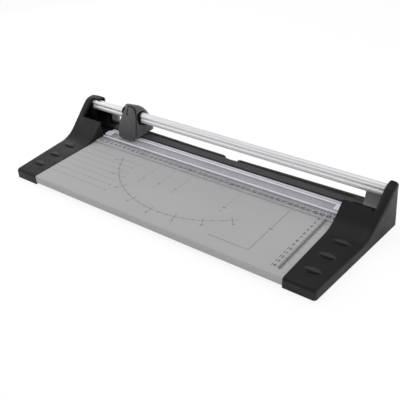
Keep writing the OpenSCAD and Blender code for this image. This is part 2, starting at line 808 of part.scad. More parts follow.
module right_strip_clip() {
    color(bright_steel) set_in_frame() strip_clip(1);
}

module left_strip_spring() {
    color(bright_steel) set_in_frame() strip_spring(-1);
}

module right_strip_spring() {
    color(bright_steel) set_in_frame() strip_spring(1);
}

module left_spring_cup() {
    color(bright_steel) set_in_frame() spring_cup(-1);
}

module right_spring_cup() {
    color(bright_steel) set_in_frame() spring_cup(1);
}

// Cutting head
module set_on_head() {
    set_in_frame() translate([head_x, 0, 0]) children();
}

// The whole outside of the head, or its inside when shrunk by a wall
module head_form(w) {
    intersection() {
        along_x(-head_w, head_w) polygon(inner_outline(side_corners, side_radii, w));
        linear_extrude(head_h + 1) polygon(inner_outline(plan_corners, plan_radii, w));
        along_y(head_front - 1, head_back + 1) polygon(inner_outline(front_corners, front_radii, w));
    }
}

module low_rods(d, from, to) {
    for (side = [-1, 1]) rod_y(d, from, to, side * low_screw_x, low_screw_z);
}

module high_rods(d, from, to) {
    for (side = [-1, 1]) rod_y(d, from, to, side * high_screw_x, high_screw_z);
}

head_screw_seat = head_back - 11;
high_boss_y = cut_y + 1;
low_screw_tip = parting_y - 9;
high_screw_tip = parting_y + 1;
frame_boss_x = 7;
frame_boss_z = 41;
frame_boss_front = head_front + 2.5;

module head_front_shell() {
    color(black_plastic) set_on_head() difference() {
        intersection() {
            head_form(0);
            union() {
                difference() {
                    block([-head_w, head_front - 1, 0], [head_w, parting_y, head_h + 1]);
                    head_form(head_wall);
                }
                low_rods(head_boss_d, head_front, parting_y);
                high_rods(head_boss_d, head_front, high_boss_y);
                for (side = [-1, 1])
                    rod_y(small_screw_d + 3, head_front + 1, frame_y, side * frame_boss_x, frame_boss_z);
            }
        }
        block([-shield_w / 2 + head_wall, head_front + head_wall + 0.8, 0],
            [shield_w / 2 - head_wall, parting_y + 1, head_foot + head_wall + 1]);
        low_rods(small_screw_d + 2 * screw_gap, low_screw_tip, parting_y + 1);
        high_rods(small_screw_d + 2 * screw_gap, high_screw_tip, high_boss_y + 1);
        for (side = [-1, 1])
            rod_y(small_screw_d + 2 * screw_gap, frame_boss_front, frame_y + 1,
                side * frame_boss_x, frame_boss_z);
    }
}

module head_rear_shell() {
    wall_from = parting_y + fit;
    seat_more = bush_t + slide_gap + fit;
    hole_more = 4.5;
    color(black_plastic) set_on_head() difference() {
        intersection() {
            head_form(0);
            union() {
                difference() {
                    block([-head_w, wall_from, 0], [head_w, head_back + 1, head_h + 1]);
                    head_form(head_wall);
                }
                low_rods(head_boss_d, wall_from, head_back);
                high_rods(head_boss_d, high_boss_y + fit, head_back);
                for (side = [-1, 1]) on_side(side)
                    block([rib_x, bar_y, head_back_foot], [rib_x + rib_t, head_back, head_h]);
            }
        }
        along_x(-head_w, head_w) rail_outline(seat_more);
        for (side = [-1, 1]) on_side(side)
            along_x(rib_x + rib_t, head_w) rail_outline(hole_more);
        block([-blade_d / 2 - 0.7, parting_y - 1, 0],
            [blade_d / 2 + 0.7, bar_y + 1, blade_z + blade_d / 2 + 1]);
        low_rods(small_screw_d + 2 * screw_gap, parting_y - 1, head_back + 1);
        high_rods(small_screw_d + 2 * screw_gap, parting_y - 1, head_back + 1);
        low_rods(small_screw_d + 2.6, head_screw_seat, head_back + 1);
        high_rods(small_screw_d + 2.6, head_screw_seat, head_back + 1);
    }
}

module head_screws() {
    seat = head_screw_seat;
    head_d = small_screw_d + 2.2;
    color(bright_steel) set_on_head() for (side = [-1, 1]) {
        translate([side * low_screw_x, seat, low_screw_z]) rotate([90, 0, 0])
            screw(small_screw_d, seat - low_screw_tip - 0.5, head_d, 1.6);
        translate([side * high_screw_x, seat, high_screw_z]) rotate([90, 0, 0])
            screw(small_screw_d, seat - high_screw_tip - 0.5, head_d, 1.6);
    }
}

module head_frame() {
    foot = head_foot + 0.6;
    color(dark_plastic) set_on_head() difference() {
        union() {
            block([-roller_x - 4, frame_y, foot], [roller_x + 4, frame_back, roller_z + 4.5]);
            block([-11, frame_y, foot], [11, frame_back, frame_boss_z + 4]);
            rod_y(boss_d, frame_y, cut_y - washer_t - fit, 0, blade_z);
        }
        rod_y(axle_d + 2 * screw_gap, frame_y - 1, cut_y, 0, blade_z);
        for (side = [-1, 1]) {
            rod_y(roller_pin_d + 2 * screw_gap, frame_y - 1, frame_back + 1, side * roller_x, roller_z);
            rod_y(small_screw_d + 2 * screw_gap, frame_y - 1, frame_back + 1,
                side * frame_boss_x, frame_boss_z);
        }
    }
}

module frame_screws() {
    color(bright_steel) set_on_head() for (side = [-1, 1])
        translate([side * frame_boss_x, frame_back, frame_boss_z]) rotate([90, 0, 0])
            screw(small_screw_d, frame_back - frame_boss_front - 0.5, small_screw_d + 2.2, 1.6);
}

module glide_bush(side) {
    color(dark_plastic) set_on_head() on_side(side) difference() {
        along_x(rib_x + rib_t / 2 - bush_l / 2, rib_x + rib_t / 2 + bush_l / 2)
            rail_outline(bush_t + slide_gap);
        along_x(0, head_w) rail_outline(slide_gap);
    }
}

module left_glide_bush() {
    glide_bush(-1);
}

module right_glide_bush() {
    glide_bush(1);
}

// Round blade, ground to an edge at the side that meets the fixed knife
module round_blade() {
    bevel = 2.2;
    color(bright_steel) set_on_head() translate([0, blade_y, blade_z]) rotate([-90, 0, 0])
        rotate_extrude($fn = 96) polygon([[axle_d / 2 + run_gap, 0], [blade_d / 2, 0], [blade_d / 2, 0.15],
            [blade_d / 2 - bevel, blade_t], [axle_d / 2 + run_gap, blade_t]]);
}

module blade_axle() {
    shoulder = blade_y + blade_t + fit;
    color(bright_steel) set_on_head() {
        rod_y(axle_d, frame_y, shoulder + axle_head_t, 0, blade_z);
        rod_y(axle_head_d, shoulder, shoulder + axle_head_t, 0, blade_z);
    }
}

module blade_washer() {
    color(bright_steel) set_on_head() difference() {
        rod_y(axle_d + 4, cut_y - washer_t - fit, cut_y - fit, 0, blade_z);
        rod_y(axle_d + 2 * screw_gap, cut_y - 2, cut_y + 1, 0, blade_z);
    }
}

module press_roller(side) {
    color(white_plastic) set_on_head() difference() {
        rod_y(roller_d, roller_y, roller_y + roller_l, side * roller_x, roller_z);
        rod_y(roller_pin_d + 2 * run_gap, roller_y - 1, roller_y + roller_l + 1, side * roller_x, roller_z);
    }
}

module roller_pin(side) {
    tip = roller_y + roller_l + fit;
    color(bright_steel) set_on_head() {
        rod_y(roller_pin_d, frame_y, tip + 0.6, side * roller_x, roller_z);
        rod_y(roller_pin_d + 2, tip, tip + 0.6, side * roller_x, roller_z);
    }
}

module left_press_roller() {
    press_roller(-1);
}

module right_press_roller() {
    press_roller(1);
}

module left_roller_pin() {
    roller_pin(-1);
}

module right_roller_pin() {
    roller_pin(1);
}

table();
lower_knife();
knife_rivets();
rear_bar();
left_end_cap();
right_end_cap();
left_base_plate();
right_base_plate();
left_plate_screws();
right_plate_screws();
front_left_foot();
front_right_foot();
rear_left_foot();
rear_right_foot();
guide_rail();
left_rail_holder();
right_rail_holder();
left_rail_screws();
right_rail_screws();
left_holder_screws();
right_holder_screws();
table_screws();
bar_screws();
clamp_strip();
left_strip_end();
right_strip_end();
left_strip_pin();
right_strip_pin();
left_strip_clip();
right_strip_clip();
left_strip_spring();
right_strip_spring();
left_spring_cup();
right_spring_cup();
head_front_shell();
head_rear_shell();
head_frame();
left_glide_bush();
right_glide_bush();
round_blade();
blade_axle();
blade_washer();
left_press_roller();
right_press_roller();
left_roller_pin();
right_roller_pin();
frame_screws();
head_screws();
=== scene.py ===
from math import acos, asin, cos, pi, radians, sin, tan

import bmesh
import bpy
from bmesh.types import BMEdge, BMFace, BMVert
from mathutils import Matrix, Vector


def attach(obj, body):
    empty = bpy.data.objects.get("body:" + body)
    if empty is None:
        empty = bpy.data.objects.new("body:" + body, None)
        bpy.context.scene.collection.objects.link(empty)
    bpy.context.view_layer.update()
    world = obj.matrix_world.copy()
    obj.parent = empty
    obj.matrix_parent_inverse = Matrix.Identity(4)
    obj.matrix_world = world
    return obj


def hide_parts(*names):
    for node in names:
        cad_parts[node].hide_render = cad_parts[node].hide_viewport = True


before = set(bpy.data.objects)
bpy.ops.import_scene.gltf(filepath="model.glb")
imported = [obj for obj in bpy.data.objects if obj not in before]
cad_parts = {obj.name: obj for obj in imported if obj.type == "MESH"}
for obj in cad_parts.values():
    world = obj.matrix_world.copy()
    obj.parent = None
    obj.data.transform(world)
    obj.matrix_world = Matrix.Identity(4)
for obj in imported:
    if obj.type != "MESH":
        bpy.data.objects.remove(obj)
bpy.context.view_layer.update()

# Places are given in millimetres: across from the middle, in from the caps' front, and up
MM = 0.001
CAP_FRONT = 105.75
LEFT = -1
RIGHT = 1
ACROSS = Vector((1, 0, 0))
INWARD = Vector((0, 1, 0))
UPWARD = Vector((0, 0, 1))

# How near counts as touching: two in metres for the mesh tools, one in millimetres
TOUCH = 1e-6
HAIR = 1e-7
NEAR = 0.01

# How square to an axis counts as flat, and how alike two faces' directions are in one plane
FLAT = 0.99
OUTER_FLAT = 0.95
ONE_PLANE = 0.99999

# The turn from face to face past which an edge is softened
EDGE_ANGLE = radians(40)

# The table and the rear bar
TABLE_END = 228.0
TABLE_TOP = 17.0
DEPTH = 207.0
BAR_FRONT = 192.5
BAR_CREST = 198.5
BAR_DROP = 3.0
BAR_JOINT = 0.2
BAR_END_FRONT = 193.6
BAR_END_BACK = 202.2
BAR_END_TOP = 25.3
LIP_END = TABLE_END + 16
LIP_FRONT = 203.9
LIP_BACK = 206.3
LIP_LOW = 25.2
LIP_TOP = 26.4
LIP_LEVEL = 40
LIP_RISE = 2.9
LIP_CURVE = 0.8
LIP_STEPS = 12
LIP_SEAT_LOW = 24.4
LIP_SEAT_ROOM = 0.1

# The end caps and their arms
CAP_FRONT_WIDTH = 46.0
CAP_FLARE = 16.0
CAP_FOOT = 2.0
CAP_TOP = 17.8
CAP_WALL = 2.6
CAP_SKIN = 2.7
RAMP_FOOT = 129.7
RAMP_HOLLOW = TABLE_END + 41
PLATEAU_BACK = 161.0
PLATFORM_TOP = 25.0
UNDER_HOLLOW = 11
ARM_INNER = TABLE_END + 45.0
ARM_CREST = 188.8
ARM_TOP = 71.0
ARM_CROWN = 1.5
ARM_LEAN = 4.6
HOOD_INNER = TABLE_END + 30.0
HOOD_FRONT = 191
HOOD_BACK = 204
HOOD_LOW = 45
HOOD_TOP = 67
CAP_SIDE = ((0, CAP_FOOT), (DEPTH, CAP_FOOT), (DEPTH, ARM_TOP), (ARM_CREST, ARM_TOP),
            (RAMP_FOOT, CAP_TOP), (0, CAP_TOP))
CAP_RADII = (0, 0, 6, 20, 45, 5)
OUTER_ROUNDING = 4.4
ARM_ROUNDING = {LEFT: 2.4, RIGHT: 5.2}
ARM_ROUNDING_LOW = 47
ARM_ROUNDING_BACK = {LEFT: 189, RIGHT: 206}

# The grips on the caps
GRIP_DEPTHS = range(34, 107, 36)
GRIP_HALF = 13.0
GRIP_BULGE = 6.8
GRIP_FLATNESS = 0.46
GRIP_SINK = 0.5

# The walls that carry the rail, and the wall that stops the head
POST_NEAR = TABLE_END + 15
POST_FRONT = 193.4
POST_BACK = 206.6
POST_FOOT = 24.6
POST_TOP = 50.4
POST_SIDE = ((POST_FRONT, POST_FOOT), (POST_BACK, POST_FOOT), (POST_BACK, POST_TOP), (203.4, POST_TOP),
             (199.6, 34), (196.6, 27.2))
POST_RADII = (0, 0, 0.8, 0.8, 12, 8)
STOP_FACE = -229.2
STOP_TOP = 46
STOP_FRONT = 204.4
STOP_THICK = 2.4
STOP_OUTLINE = ((-252, PLATFORM_TOP), (STOP_FACE, PLATFORM_TOP), (STOP_FACE, STOP_TOP), (-243, STOP_TOP),
                (-249, 34))
STOP_RADII = (0, 0, 1.5, 3, 3)
STOP_PAD_WIDTH = 3.2
STOP_PAD_FRONT = 206
STOP_PAD_BACK = 210.8
STOP_PAD_LOW = 27

# The rail and the cutting head
RAIL_END = 278.0
RAIL_DEPTH = 196.0
LOBE_RADIUS = 5.5
LOW_LOBE = 53.0
HIGH_LOBE = 61.0
HEAD_MIDDLE = -180.5
HEAD_FOOT = 23.9
HEAD_WALL = 2.2
HEAD_CORE = (190, 45)
HEAD_CORE_HALF = 5
NOSE_INSET = 3.0
NOSE_PROUD = 0.25
OPENING_RADIUS = LOBE_RADIUS + 3.4
OPENING_DEPTH = RAIL_DEPTH - 1.6
OPENING_SIDES = 32
OPENING_REACH = 16
SEAM_FOOT = (176.8, 23.0)
SEAM_CROWN = (186.9, 79.0)
SEAM_DEPTH = 1.8
SEAM_GAP = 1.2
SEAM_SKEW = 0.2
SEAM_ARCH_FOOT = 50
TONGUE_HALF = 3.2
TONGUE_WIDTH_SHARE = 0.9
TONGUE_HEIGHT_SHARE = 0.968

# The hook-shaped bead on the shield: its tip, its turn and the middle of its curve
HOOK_TIP = (-181.0, 75.0)
HOOK_TURN = (-180.6, 69.6)
HOOK_MIDDLE = -176.4
HOOK_SWEEP = radians(105)
HOOK_WIDTH = 1.2
HOOK_PROUD = 0.3
HOOK_THICK = 0.5
RAY_START = 400

# The clamp strip
STRIP_END = 226.5
STRIP_FRONT = 140.4
STRIP_BACK = 189.4
STRIP_LOW = 18.2
STRIP_TOP = 19.8
BAND_FRONT = 183.9
BAND_TOP = 20.7
STRIP_SIDE = ((STRIP_FRONT, STRIP_LOW), (STRIP_BACK, STRIP_LOW), (STRIP_BACK, BAND_TOP),
              (BAND_FRONT, BAND_TOP), (BAND_FRONT, STRIP_TOP), (STRIP_FRONT, STRIP_TOP))
STRIP_RADII = (0.3, 0.3, 0.4, 0.4, 0.3, 0.7)
STRIP_RIBS = {"strip_rib": ((160.6, 19.75), (163.2, 19.75), (162.7, 20.9), (161.1, 20.9)),
              "strip_step": ((180.8, 19.75), (184.4, 19.75), (184.4, 20.75), (182.6, 20.75))}
RIB_RADII = (0, 0, 0.4, 0.5)
BACK_LINE_INSET = 0.1
# Pale bands along the strip's back that paint its bright edge lines
BACK_LINES = {"strip_back_edge": ((187.6, 19.5), (STRIP_BACK, 20.75)),
              "strip_back_band": ((185.6, 20.3), (187.0, 20.72))}

# The printed marks
PRINT_UP = TABLE_TOP + 0.06
STRIP_PRINT_UP = STRIP_TOP + 0.04
INCH = 25.4
FONT_SIZE_OF_DIGIT = 1.4


def at(across, depth, up):
    """A place on the trimmer, in metres."""
    return Vector((across, depth - CAP_FRONT, up)) * MM


def place_of(point):
    """Across, in and up of a place, in millimetres."""
    return point.x / MM, point.y / MM + CAP_FRONT, point.z / MM


def cap_width(depth):
    """How far the cap's outer side stands from the table's end."""
    return CAP_FRONT_WIDTH + CAP_FLARE * depth / DEPTH


def gone(value, start, run):
    """How far a value has gone along a run from its start, from 0 to 1."""
    return min(max((value - start) / run, 0), 1)


class Value:
    """A shader socket that takes part in sums."""

    def __init__(self, nodes, socket):
        self.nodes = nodes
        self.socket = socket

    def sum_node(self, operation, first, second):
        return self.nodes.node("ShaderNodeMath", {"operation": operation}, {0: first, 1: second})

    def __add__(self, other):
        return self.sum_node("ADD", self, other)

    def __radd__(self, other):
        return self.sum_node("ADD", other, self)

    def __sub__(self, other):
        return self.sum_node("SUBTRACT", self, other)

    def __rsub__(self, other):
        return self.sum_node("SUBTRACT", other, self)

    def __mul__(self, other):
        return self.sum_node("MULTIPLY", self, other)

    def __rmul__(self, other):
        return self.sum_node("MULTIPLY", other, self)

    def or_more(self, other):
        return self.sum_node("MAXIMUM", self, other)


class Nodes:
    """The shader nodes of a material or of the surround."""

    def __init__(self, owner):
        owner.use_nodes = True
        self.tree = owner.node_tree

    def node(self, kind, settings, sockets, output=0):
        made = self.tree.nodes.new(kind)
        for key, value in settings.items():
            if key == "stops":
                ramp = made.color_ramp
                while len(ramp.elements) < len(value):
                    ramp.elements.new(0.5)
                for stop, (position, level) in zip(ramp.elements, value):
                    stop.position = position
                    stop.color = (level, level, level, 1)
            else:
                setattr(made, key, value)
        for key, value in sockets.items():
            self.feed(made.inputs[key], value)
        return Value(self, made.outputs[output])

    def feed(self, socket, value):
        if isinstance(value, Value):
            self.tree.links.new(value.socket, socket)
        else:
            socket.default_value = value

    def ray(self, kind):
        return self.node("ShaderNodeLightPath", {}, {}, kind)


class Finish(Nodes):
    """One procedural material."""

    def __init__(self, name):
        self.material = bpy.data.materials.new(name)
        super().__init__(self.material)
        self.shader = self.tree.nodes["Principled BSDF"]
        self.spot = self.node("ShaderNodeTexCoord", {}, {}, "Object")

    def surface(self, **sockets):
        for key, value in sockets.items():
            self.feed(self.shader.inputs[key.replace("_", " ")], value)

    def noise(self, size, detail=3.0, rough=0.5, stretch=(1, 1, 1)):
        """Noise whose patches are about that many millimetres across."""
        spot = self.node("ShaderNodeMapping", {}, {"Vector": self.spot, "Scale": stretch})
        scale = 1 / (size * MM)
        sockets = {"Vector": spot, "Scale": scale, "Detail": detail, "Roughness": rough}
        return self.node("ShaderNodeTexNoise", {}, sockets)

    def steps(self, value, *stops):
        return self.node("ShaderNodeValToRGB", {"stops": stops}, {0: value})

    def blend(self, first, second, share):
        settings = {"data_type": "RGBA"}
        return self.node("ShaderNodeMix", settings, {0: share, 6: first, 7: second}, 2)

    def bump(self, height, depth, strength=1.0):
        """A relief of that many millimetres."""
        sockets = {"Height": height, "Distance": depth * MM, "Strength": strength}
        return self.node("ShaderNodeBump", {}, sockets)


def shade(level, blue=0.0):
    """A grey from its screen level, 0 to 255, a touch bluer where asked."""
    def linear(value):
        share = max(value, 0) / 255
        return share / 12.92 if share <= 0.04045 else ((share + 0.055) / 1.055) ** 2.4
    return linear(level - blue / 2), linear(level - blue / 2), linear(level + blue), 1


def moulded_plastic(name, level, grain, gloss):
    """Moulded plastic with a fine spark-eroded grain, faint flow marks and handling shine."""
    made = Finish(name)
    flow = made.noise(38, 4, 0.6, (1, 1.6, 1.3))
    grains = made.noise(grain, 4, 0.65)
    specks = made.steps(made.noise(2.6, 2, 0.5), (0.68, 0), (0.78, 1))
    handled = made.steps(made.noise(24, 5, 0.62), (0.42, 0), (0.7, 1))
    colour = made.blend(shade(level * 0.88, 1), shade(level * 1.12, 1), flow)
    colour = made.blend(colour, shade(level * 1.5 + 6), specks * 0.22)
    made.surface(Base_Color=colour, Roughness=gloss + 0.16 * grains - 0.09 * handled)
    made.surface(Normal=made.bump(grains + 0.25 * flow, 0.11, 0.55), Specular_IOR_Level=0.4)
    return made.material


def painted_sheet():
    """Satin grey paint on sheet steel, with orange peel, fine flake and rubbed streaks."""
    made = Finish("satin_grey_paint")
    cloud = made.noise(120, 3, 0.5)
    flake = made.noise(0.5, 2, 0.5)
    peel = made.noise(1.8, 2, 0.5)
    streak = made.noise(3.0, 4, 0.6, (0.05, 1, 1))
    rubbed = made.steps(streak, (0.55, 0), (0.78, 1))
    colour = made.blend(shade(156), shade(165), cloud)
    colour = made.blend(colour, shade(190), made.steps(flake, (0.6, 0), (0.75, 1)) * 0.35)
    colour = made.blend(colour, shade(152), rubbed * 0.16)
    made.surface(Base_Color=colour, Roughness=0.56 + 0.14 * cloud - 0.08 * rubbed)
    made.surface(Normal=made.bump(peel + 0.4 * flake, 0.03, 0.4), Metallic=0.06)
    made.surface(Specular_IOR_Level=0.2)
    return made.material


def drawn_aluminium():
    """Clear anodised aluminium with drawing lines along its length and two bright bands painted as the
    highlights along its lobes.
    """
    made = Finish("drawn_aluminium")
    lines = made.noise(0.5, 3, 0.6, (0.012, 1, 1))
    broad = made.noise(2.2, 3, 0.5, (0.02, 1, 1))
    foot, height = 47, 20
    bright, faded = 0.02, 0.07
    # Painted highlights: two bright, less metallic bands at the heights where the lobes catch the light
    highlight_stops = []
    for middle in (0.44, 0.76):
        highlight_stops += [(middle - faded, 0), (middle - bright, 1), (middle + bright, 1), (middle + faded, 0)]
    up = made.node("ShaderNodeSeparateXYZ", {}, {0: made.spot}, "Z")
    track = made.steps(up * (1 / (height * MM)) - foot / height, *highlight_stops)
    colour = made.blend(shade(230, 2), shade(246, 1), 0.4 * lines + 0.6 * broad)
    colour = made.blend(colour, shade(254), track)
    made.surface(Base_Color=colour, Roughness=0.34 + 0.16 * lines, Metallic=0.5 - 0.46 * track)
    made.surface(Normal=made.bump(lines, 0.02, 0.35))
    return made.material


def ground_steel(name, level, along):
    """Steel with fine grinding lines."""
    made = Finish(name)
    lines = made.noise(0.35, 3, 0.6, along)
    stains = made.noise(9, 4, 0.6)
    colour = made.blend(shade(level - 22), shade(level + 14), 0.5 * lines + 0.5 * stains)
    made.surface(Base_Color=colour, Roughness=0.24 + 0.2 * lines + 0.08 * stains, Metallic=1.0)
    made.surface(Normal=made.bump(lines, 0.015, 0.4))
    return made.material


def clear_acrylic(name, level, cover, gloss):
    """Clear plastic, faintly lilac, with hair scratches and a slight haze."""
    made = Finish(name)
    haze = made.noise(26, 4, 0.6)
    hairs = made.noise(0.6, 3, 0.65, (0.06, 1, 1))
    marks = made.steps(hairs, (0.62, 0), (0.74, 1))
    colour = made.blend(shade(level, 5), shade(level + 14, 4), haze)
    made.surface(Base_Color=colour, Alpha=cover + 0.08 * haze + 0.07 * marks)
    made.surface(Roughness=gloss + 0.1 * haze + 0.12 * marks, Normal=made.bump(hairs, 0.01, 0.3))
    made.surface(IOR=1.49)
    return made.material


def foot_rubber():
    """Dull black rubber with a dusty bloom."""
    made = Finish("foot_rubber")
    bloom = made.noise(4, 5, 0.65)
    pores = made.noise(0.5, 2, 0.5)
    made.surface(Base_Color=made.blend(shade(26), shade(48), bloom), Roughness=0.78 + 0.15 * bloom)
    made.surface(Normal=made.bump(pores, 0.05, 0.5))
    return made.material


def white_nylon():
    """White nylon, slightly waxy, with wear where it runs."""
    made = Finish("white_nylon")
    wax = made.noise(5, 4, 0.55)
    made.surface(Base_Color=made.blend(shade(206, -6), shade(226, -3), wax), Roughness=0.36 + 0.2 * wax)
    made.surface(Normal=made.bump(made.noise(0.8, 2), 0.02, 0.4))
    return made.material


def screen_ink():
    """Screen-printed grey ink, a little uneven and rubbed."""
    made = Finish("screen_ink")
    cover = made.noise(1.6, 4, 0.65)
    made.surface(Base_Color=made.blend(shade(66), shade(96), cover), Roughness=0.5 + 0.2 * cover)
    made.surface(Normal=made.bump(made.noise(0.4, 2), 0.01, 0.4))
    return made.material


black_moulding = moulded_plastic("black_moulding", 20, 0.55, 0.5)
# Painted light: the bar and the head are black plastic, written as dark greys for the light they catch
bar_painted_light_moulding = moulded_plastic("bar_painted_light_moulding", 68, 0.6, 0.5)
head_painted_light_moulding = moulded_plastic("head_painted_light_moulding", 82, 0.5, 0.44)
inner_moulding = moulded_plastic("inner_moulding", 30, 0.8, 0.55)
# Near-black: the glide bushes' own colour, and painted shade on the grip fronts, the left post, the seam
# tongue and the hook
bush_and_painted_shade_moulding = moulded_plastic("bush_and_painted_shade_moulding", 8, 0.8, 0.6)
# Painted light: the grips are the caps' black plastic, given a lighter grey for the light on their tops
grip_painted_light_moulding = moulded_plastic("grip_painted_light_moulding", 46, 0.6, 0.46)
# Painted light: a light grey for the black plastic of the right rail post and the stop wall, which stand
# in shade
post_painted_light_moulding = moulded_plastic("post_painted_light_moulding", 132, 0.6, 0.5)
table_paint = painted_sheet()
rail_metal = drawn_aluminium()
knife_steel = ground_steel("knife_steel", 190, (0.02, 1, 1))
blade_steel = ground_steel("blade_steel", 205, (1, 1, 1))
zinc_steel = ground_steel("zinc_steel", 178, (1, 1, 1))
strip_acrylic = clear_acrylic("strip_acrylic", 196, 0.26, 0.1)
# Painted highlights: a pale, denser plastic for the strip's rib, step, back lines and ends
painted_highlight_acrylic = clear_acrylic("painted_highlight_acrylic", 226, 0.74, 0.16)
rubber = foot_rubber()
nylon = white_nylon()
ink = screen_ink()


def piece(name, bm, finish, body, nodes=(), edge=0.0, smooth=38):
    """Makes the finished mesh an object of the trimmer, its edges softened where asked."""
    mesh = bpy.data.meshes.new(name)
    bm.to_mesh(mesh)
    bm.free()
    mesh.materials.append(finish)
    for face in mesh.polygons:
        face.use_smooth = True
    made = bpy.data.objects.new(name, mesh)
    bpy.context.collection.objects.link(made)
    if edge:
        soften = made.modifiers.new("soft_edges", "BEVEL")
        soften.width = edge * MM
        soften.segments = 2
        soften.limit_method = "ANGLE"
        soften.angle_limit = EDGE_ANGLE
    mesh.set_sharp_from_angle(angle=radians(smooth))
    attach(made, body)
    if nodes:
        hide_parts(*nodes)
    return made


def only(kind, parts):
    return [part for part in parts if isinstance(part, kind)]


def once(parts):
    """The parts in their order, without repeats."""
    return list(dict.fromkeys(parts))


def with_parts(faces):
    """The faces with their edges and corners."""
    edges = once(edge for face in faces for edge in face.edges)
    verts = once(vert for face in faces for vert in face.verts)
    return list(faces) + edges + verts


def faces_where(bm, test):
    return [face for face in bm.faces if test(*place_of(face.calc_center_median()), face.normal)]


def lies_at(part, across):
    """Whether all of a face or an edge lies that far from the middle."""
    return all(abs(abs(vert.co.x) - across * MM) < TOUCH for vert in part.verts)


def split(bm, faces, point, normal):
    """Cuts the faces along a plane, keeps both sides and gives them."""
    made = bmesh.ops.bisect_plane(bm, geom=with_parts(faces), dist=HAIR, plane_co=point, plane_no=normal)
    return only(BMFace, made["geom"])


def cut_off(bm, point, normal):
    """Cuts the whole mesh along a plane and takes away what lies outside it."""
    bmesh.ops.bisect_plane(bm, geom=bm.verts[:] + bm.edges[:] + bm.faces[:], dist=HAIR, plane_co=point,
                           plane_no=normal, clear_outer=True)


def draw_out(bm, faces):
    """Extrudes the faces, takes away the ones left inside, and gives the new corners."""
    made = bmesh.ops.extrude_face_region(bm, geom=faces)["geom"]
    inside = [face for face in faces if face.is_valid
              and any(len(edge.link_faces) > 2 for edge in face.edges)]
    bmesh.ops.delete(bm, geom=inside, context="FACES")
    return only(BMVert, made)


def round_over(bm, edges, radius, steps):
    bmesh.ops.bevel(bm, geom=edges, offset=radius * MM, offset_type="OFFSET", affect="EDGES",
                    segments=steps, profile=0.5, material=-1, clamp_overlap=False)


def inset(bm, faces, width):
    return bmesh.ops.inset_region(bm, faces=faces, thickness=width * MM, use_even_offset=True)["faces"]


def join_flat(bm, keep):
    """Takes out the edges between faces in one plane, except those that are kept."""
    bm.normal_update()
    loose = [edge for edge in bm.edges if len(edge.link_faces) == 2 and not keep(edge)
             and edge.link_faces[0].normal.dot(edge.link_faces[1].normal) > ONE_PLANE]
    bmesh.ops.dissolve_edges(bm, edges=loose, use_verts=True)


def close_up(bm):
    """Merges doubles and turns every face outwards."""
    bmesh.ops.remove_doubles(bm, verts=bm.verts, dist=TOUCH)
    bmesh.ops.recalc_face_normals(bm, faces=bm.faces)


def rounded_face(bm, corners, radii, spot, steps=8):
    """A flat face with each corner rounded to its radius."""
    verts = [bm.verts.new(spot(*corner)) for corner in corners]
    bm.faces.new(verts)
    flat = [Vector(corner) for corner in corners]
    for i, (vert, radius) in enumerate(zip(verts, radii)):
        if radius:
            inward = flat[i] - flat[i - 1]
            onward = flat[(i + 1) % len(flat)] - flat[i]
            cut = radius * tan(abs(inward.angle_signed(onward)) / 2)
            bmesh.ops.bevel(bm, geom=[vert], offset=cut * MM, offset_type="OFFSET", affect="VERTICES",
                            segments=steps, profile=0.5, material=-1)


def long_bar(bm, section, radii, start, end, steps):
    """Draws a rounded section out across the trimmer, from one place to another."""
    rounded_face(bm, section, radii, lambda depth, up: at(start, depth, up), steps)
    bmesh.ops.translate(bm, vec=(end - start) * MM * ACROSS, verts=draw_out(bm, bm.faces[:]))


def block(bm, low, high, rounding=0.0):
    """A box between two places, its edges rounded."""
    made = bmesh.ops.create_cube(bm, size=1)["verts"]
    size = at(*high) - at(*low)
    bmesh.ops.scale(bm, vec=size, verts=made)
    bmesh.ops.translate(bm, vec=(at(*high) + at(*low)) / 2, verts=made)
    if rounding:
        round_over(bm, once(edge for vert in made for edge in vert.link_edges), rounding, 3)


def cap_body(side):
    """The cap's solid form: the arm and its outer side first, then the low part out to the table."""
    bm = bmesh.new()
    rounded_face(bm, CAP_SIDE, CAP_RADII, lambda depth, up: at(side * ARM_INNER, depth, up))

    def raised(front, back=DEPTH):
        return faces_where(bm, lambda across, depth, up, normal: front < depth < back and up > TABLE_TOP)

    split(bm, bm.faces[:], at(0, 0, TABLE_TOP), UPWARD)
    split(bm, raised(0), at(0, PLATEAU_BACK, 0), INWARD)
    split(bm, raised(PLATEAU_BACK), at(0, BAR_FRONT, 0), INWARD)
    split(bm, raised(BAR_FRONT), at(0, BAR_CREST, 0), INWARD)
    split(bm, raised(BAR_CREST), at(0, 0, PLATFORM_TOP), UPWARD)
    bar_slope = (0, -BAR_DROP, BAR_CREST - BAR_FRONT)
    split(bm, raised(BAR_FRONT, BAR_CREST), at(0, BAR_CREST, PLATFORM_TOP), bar_slope)

    crown_start, crown_run = 18, 40
    for vert in draw_out(bm, bm.faces[:]):
        _, depth, up = place_of(vert.co)
        vert.co.x = side * (TABLE_END + cap_width(depth)) * MM
        vert.co.z -= ARM_CROWN * MM * gone(up, crown_start, crown_run)
    close_up(bm)

    def low_part(across, depth, up, normal):
        return up < TABLE_TOP or depth < PLATEAU_BACK or (depth > BAR_FRONT and up < PLATFORM_TOP)

    low = [face for face in faces_where(bm, low_part) if lies_at(face, ARM_INNER)]
    for vert in draw_out(bm, low):
        vert.co.x = side * TABLE_END * MM
    close_up(bm)

    def inside_edge(edge):
        both = [face for face in edge.link_faces if abs(face.normal.x) > FLAT]
        return len(both) == 2 and (lies_at(edge, ARM_INNER) or lies_at(edge, TABLE_END))

    join_flat(bm, inside_edge)
    bm.normal_update()
    return bm


def arm_faces(faces, side):
    """The faces that lie flat on the arm's inner side."""
    return [face for face in faces if face.normal.x * side < -FLAT and lies_at(face, ARM_INNER)]


